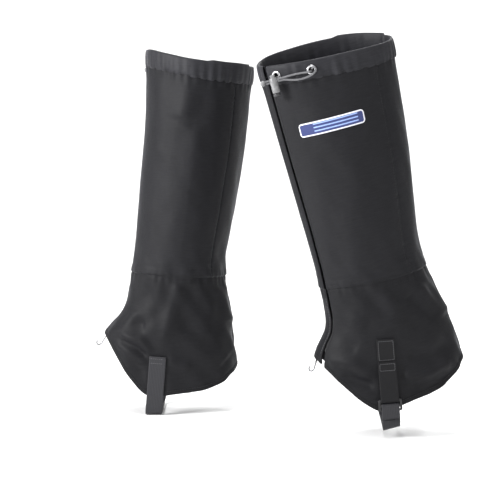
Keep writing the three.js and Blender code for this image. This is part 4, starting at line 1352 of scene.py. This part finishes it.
# ---- Webbing, buckle and strap -------------------------------------------------------------

def leaning(points, lean):
    """Points leaned to the heel by an angle of their own, about the strap's seat."""
    turn = np.radians(lean)
    x, y, z = points[..., 0], points[..., 1], points[..., 2]
    return np.stack([x * np.cos(turn) + z * np.sin(turn) + STRAP_SEAT_X, y,
                     z * np.cos(turn) - x * np.sin(turn)], -1)


def band(gaiter, name, line, width, thickness, look, lean, ridge=0.0, spacing=1.6):
    """Flat webbing with rounded edges and low ribs. line is (outward, height) points, and
    lean(out, height) is how many degrees it leans to the heel there."""
    line = np.array(line, float)
    run = run_along(line)
    at = np.linspace(0, run[-1], int(run[-1] / spacing) + 2)
    line = points_at(at, run, line)
    line[1:-1] = (line[:-2] + 2 * line[1:-1] + line[2:]) / 4
    way = np.gradient(line, axis=0)
    way /= np.linalg.norm(way, axis=1)[:, None]
    normal = np.stack([-way[:, 1], way[:, 0]], 1)
    half, edge, rib_period = width / 2, 0.5, 3.2
    shoulder, side = half - 0.12, thickness * 0.32
    flat = np.linspace(edge - half, half - edge, 16)
    face = thickness / 2 + ridge * np.cos(2 * np.pi * flat / rib_period)
    section = [*zip(flat, face), (shoulder, side), (half, 0), (shoulder, -side),
               *zip(flat[::-1], -face[::-1]), (-shoulder, -side), (-half, 0), (-shoulder, side)]
    across, off = np.array(section).T
    points = line[:, None] + normal[:, None] * off[None, :, None]
    points = np.stack(np.broadcast_arrays(across, points[..., 0], points[..., 1]), -1)
    points, faces = sweep(leaning(points, lean(line[:, 0], line[:, 1])[:, None]))
    weave = np.stack(np.broadcast_arrays(across[None], at[:, None]), -1).reshape(-1, 2)
    return piece(f"{gaiter.side}_{name}", gaiter.place(points), faces, look, weave)


def webbing_stitches(gaiter, name, lines, lean):
    """Threads along lines of (across, height, outward) on webbing."""
    def shape(across, height, out):
        return leaning(np.stack([across, out, height], -1), lean)
    stitches(gaiter, name, lines, "root", PALE_THREAD_LOOK, 2.7, 1.9, 0.3, shape)


def fold_round(gaiter, centre, over):
    """Half a turn round a bar of the buckle, from outside to inside, over it or under it."""
    return arc((gaiter.axis_out, centre), FOLD_RADIUS, 0, over * 11.25, 16)


def outer_lean(out, height):
    """The tab, its loop and the strap's free end all lean alike."""
    return np.full(np.shape(height), OUTER_LEAN)


def strap_lean(out, height):
    """The strap leans with its two sides, and lies level under the boot."""
    return np.where(np.asarray(out) > 0, OUTER_LEAN, INNER_LEAN) * fade(height, 0, STRAP_CORNER)


def walk(corners, steps=10):
    """Points along straight runs between corners."""
    out = []
    for a, b in zip(corners, corners[1:]):
        for t in np.linspace(0, 1, steps, endpoint=False):
            out.append(tuple(np.array(a) * (1 - t) + np.array(b) * t))
    return out + [tuple(corners[-1])]


def webbing(gaiter):
    """The tab on the outer side, and the loop on it that holds the buckle."""
    side = gaiter.side
    half = gaiter.half
    tab_line = [(half(h) + TAB_OFFSET, h) for h in np.linspace(TAB_TOP, TAB_BOTTOM, 7)]
    tab = band(gaiter, "tab_webbing", tab_line, TAB_WIDTH, WEBBING, WEBBING_LOOK, outer_lean, 0.05)
    finish_piece(tab, "root", "webbing", f"{side}_webbing_tab")

    front = [(half(LOOP_TOP - down) + LOOP_OFFSET + out, LOOP_TOP - down)
             for out, down in ((0, 0), (0.2, 12), (2, 22), (4.2, 34))]
    back = [(half(h) + LOOP_OFFSET + out, h) for out, h in ((0.1, LOOP_END - 10), (0, LOOP_END))]
    loop = band(gaiter, "loop_webbing", front + fold_round(gaiter, BUCKLE_AXIS, -1) + back, TAB_WIDTH,
                WEBBING, WEBBING_LOOK, outer_lean, 0.05, 0.8)
    finish_piece(loop, "root", "webbing", f"{side}_webbing_loop")


def strap(gaiter):
    """The strap under the boot, and its free end round the buckle's middle bar."""
    side = gaiter.side
    half = gaiter.half
    tail_out, main_out = gaiter.axis_out + FOLD_RADIUS, gaiter.axis_out - FOLD_RADIUS
    line = [(tail_out - 0.8, STRAP_TAIL), (tail_out - 0.2, STRAP_TAIL + 8),
            *fold_round(gaiter, BUCKLE_AXIS - BUCKLE_MIDDLE, 1),
            (main_out, STRAP_SPLIT + 10), (main_out, STRAP_SPLIT)]
    tail = band(gaiter, "strap_tail", line, STRAP_WIDTH, STRAP, STRAP_LOOK, outer_lean, 0.04, 0.8)
    low, high = [gaiter.place(leaning(np.array([0, main_out, height]), OUTER_LEAN)).tolist()
                 for height in (STRAP_SPLIT, STRAP_SPLIT + 7)]
    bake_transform(tail)
    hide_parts(f"{side}_strap_end")

    under = STRAP_CORNER - STRAP / 2
    inner_out = half(STRAP_RISE) + INNER_OFFSET
    line = [(main_out, STRAP_SPLIT - GAP),
            *arc((main_out - STRAP_CORNER, under), STRAP_CORNER, 0, -9, 10),
            *arc((STRAP_CORNER - inner_out, under), STRAP_CORNER, -90, -9, 10),
            (-inner_out, STRAP_RISE - 4)]
    line += [(-(half(h) + INNER_OFFSET), h) for h in np.linspace(STRAP_RISE + 9.5, STRAP_TOP, 5)]
    main = band(gaiter, "instep_webbing", line, STRAP_WIDTH, STRAP, STRAP_LOOK, strap_lean, 0.04)
    finish_piece(main, "root", "strap", f"{side}_instep_strap")


def sewn_ends(gaiter):
    """Box stitches on the tab and its loop, and rows across the strap's sewn end."""
    half = gaiter.half
    edge = TAB_WIDTH / 2 - 2.2

    def box_stitch(top, low, offset):
        corners = [(-edge, top), (edge, top), (edge, low), (-edge, low), (-edge, top)]
        return [(a, h, half(h) + offset + WEBBING / 2 + 0.1) for a, h in walk(corners)]

    webbing_stitches(gaiter, "tab_stitching",
                     [box_stitch(TAB_TOP - 2.6, LOOP_TOP + 2.4, TAB_OFFSET),
                      box_stitch(LOOP_TOP - 2.4, LOOP_TOP - 11, LOOP_OFFSET + 0.1)], OUTER_LEAN)
    rows = [[(a, h, -(half(h) + INNER_OFFSET + STRAP / 2 + 0.1)) for a in np.linspace(-edge, edge, 12)]
            for h in (STRAP_TOP - 3, STRAP_TOP - 9)]
    webbing_stitches(gaiter, "strap_stitching", rows, INNER_LEAN)


def buckle(gaiter):
    """A ladder-lock buckle: rails and three bars, as one rounded plate with two windows."""
    side = gaiter.side
    inside = TAB_WIDTH + 2 * BUCKLE_SLACK
    bar = BUCKLE_BAR / 2
    top, bottom = bar + 0.2, -BUCKLE_LOWER - bar
    half = inside / 2 + BUCKLE_RAIL
    edge = 0.45
    shape = bpy.data.curves.new("buckle", "CURVE")
    shape.dimensions = "2D"
    shape.fill_mode = "BOTH"
    shape.extrude = (bar - edge) * MM
    shape.bevel_depth = edge * MM
    shape.bevel_resolution = 3

    def outline(x, low, high, corner, inset):
        line = []
        for centre, start in (((x - corner, high - corner), 0), ((corner - x, high - corner), 90),
                              ((corner - x, low + corner), 180), ((x - corner, low + corner), 270)):
            line += arc(centre, corner - inset, start, 15, 6)
        spline = shape.splines.new("POLY")
        spline.points.add(len(line) - 1)
        for point, (a, b) in zip(spline.points, line):
            point.co = (a * MM, b * MM, 0, 1)
        spline.use_cyclic_u = True

    outline(half, bottom, top, 2.2, edge)
    for high, low in ((-bar, -BUCKLE_MIDDLE + bar), (-BUCKLE_MIDDLE - bar, -BUCKLE_LOWER + bar)):
        outline(inside / 2, low, high, 0.5, -edge)
    flat = add_object("flat", shape)
    mesh = evaluated(flat)
    bpy.data.objects.remove(flat)
    points = np.array([v.co for v in mesh.vertices]) / MM
    faces = [tuple(p.vertices) for p in mesh.polygons]
    # Curve X and Y are the buckle's width and height, and curve Z is outward.
    stood = np.stack([points[:, 0], points[:, 2] + gaiter.axis_out, points[:, 1] + BUCKLE_AXIS], 1)
    made = piece(f"{side}_ladder_buckle", gaiter.place(leaning(stood, OUTER_LEAN)), faces, BUCKLE_LOOK)
    face_out(made.data, weld=True)
    finish_piece(made, f"{side}_buckle", "buckle", f"{side}_buckle")


def lace_hook(gaiter):
    """The lace hook and the tab it hangs from, inside the cloth at the front corner."""
    side = gaiter.side
    wide, tall, thick = LACE_TAB
    seat = gaiter.plain(0, LACE_TAB_TOP, BINDING_INNER - LACE_TAB_SET)
    drift = float(gaiter.front(LACE_TAB_TOP + 6) - gaiter.front(LACE_TAB_TOP - tall + 6))
    turned = about_y(math.atan2(drift, tall))

    def place(points):
        return gaiter.place(np.asarray(points) @ turned + seat)

    route = [(0, 0, 0), (0, 0, -7), (-2, 0, -10.5), (-5, 0, -10.5), (-6.5, 0, -7.5), (-6, 0, -4.5)]
    line = through([(x + thick / 2, y, z - tall - HOOK_GAP) for x, y, z in route], 60)
    points, faces, _ = tube(line, HOOK_WIRE, 16)
    hook = piece(f"{side}_hook_wire", place(points), faces, WIRE_LOOK)
    soften(hook, 0.35, 3, 60)
    finish_piece(hook, f"{side}_lace_hook", "chrome", f"{side}_lace_hook")

    y, z = np.broadcast_arrays(np.linspace(-wide / 2, wide / 2, 14), np.linspace(-tall, 0, 26)[:, None])
    grid = lambda x: np.stack([np.full(y.shape, float(x)), y, z], -1)
    tab = sheet_piece(f"{side}_hook_tab", place, grid(0), grid(thick), WEBBING_LOOK, y, z)
    soften(tab, 0.4)
    finish_piece(tab, "root", "trim", f"{side}_lace_hook_tab")


# ---- Putting it together -------------------------------------------------------------------

make_camera()
gaiters = [Gaiter(name) for name in SIDES]
locks = [LockFrame(gaiter) for gaiter in gaiters]
for gaiter, lock in zip(gaiters, locks):
    cord_ends(gaiter, lock, cord_bead(gaiter, lock))
for gaiter, lock in zip(gaiters, locks):
    cord_lock(gaiter, lock)
    lock_spring(gaiter, lock)
    for make in (eyelets, panels, closure, top_hem, tunnel_cord, bottom_hem, seams, label, webbing,
                 strap, sewn_ends, buckle, lace_hook):
        make(gaiter)
make_stage()
make_lights()

low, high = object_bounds()
{"cad": [list(cad_low), list(cad_high)], "visual": [list(low), list(high)]}
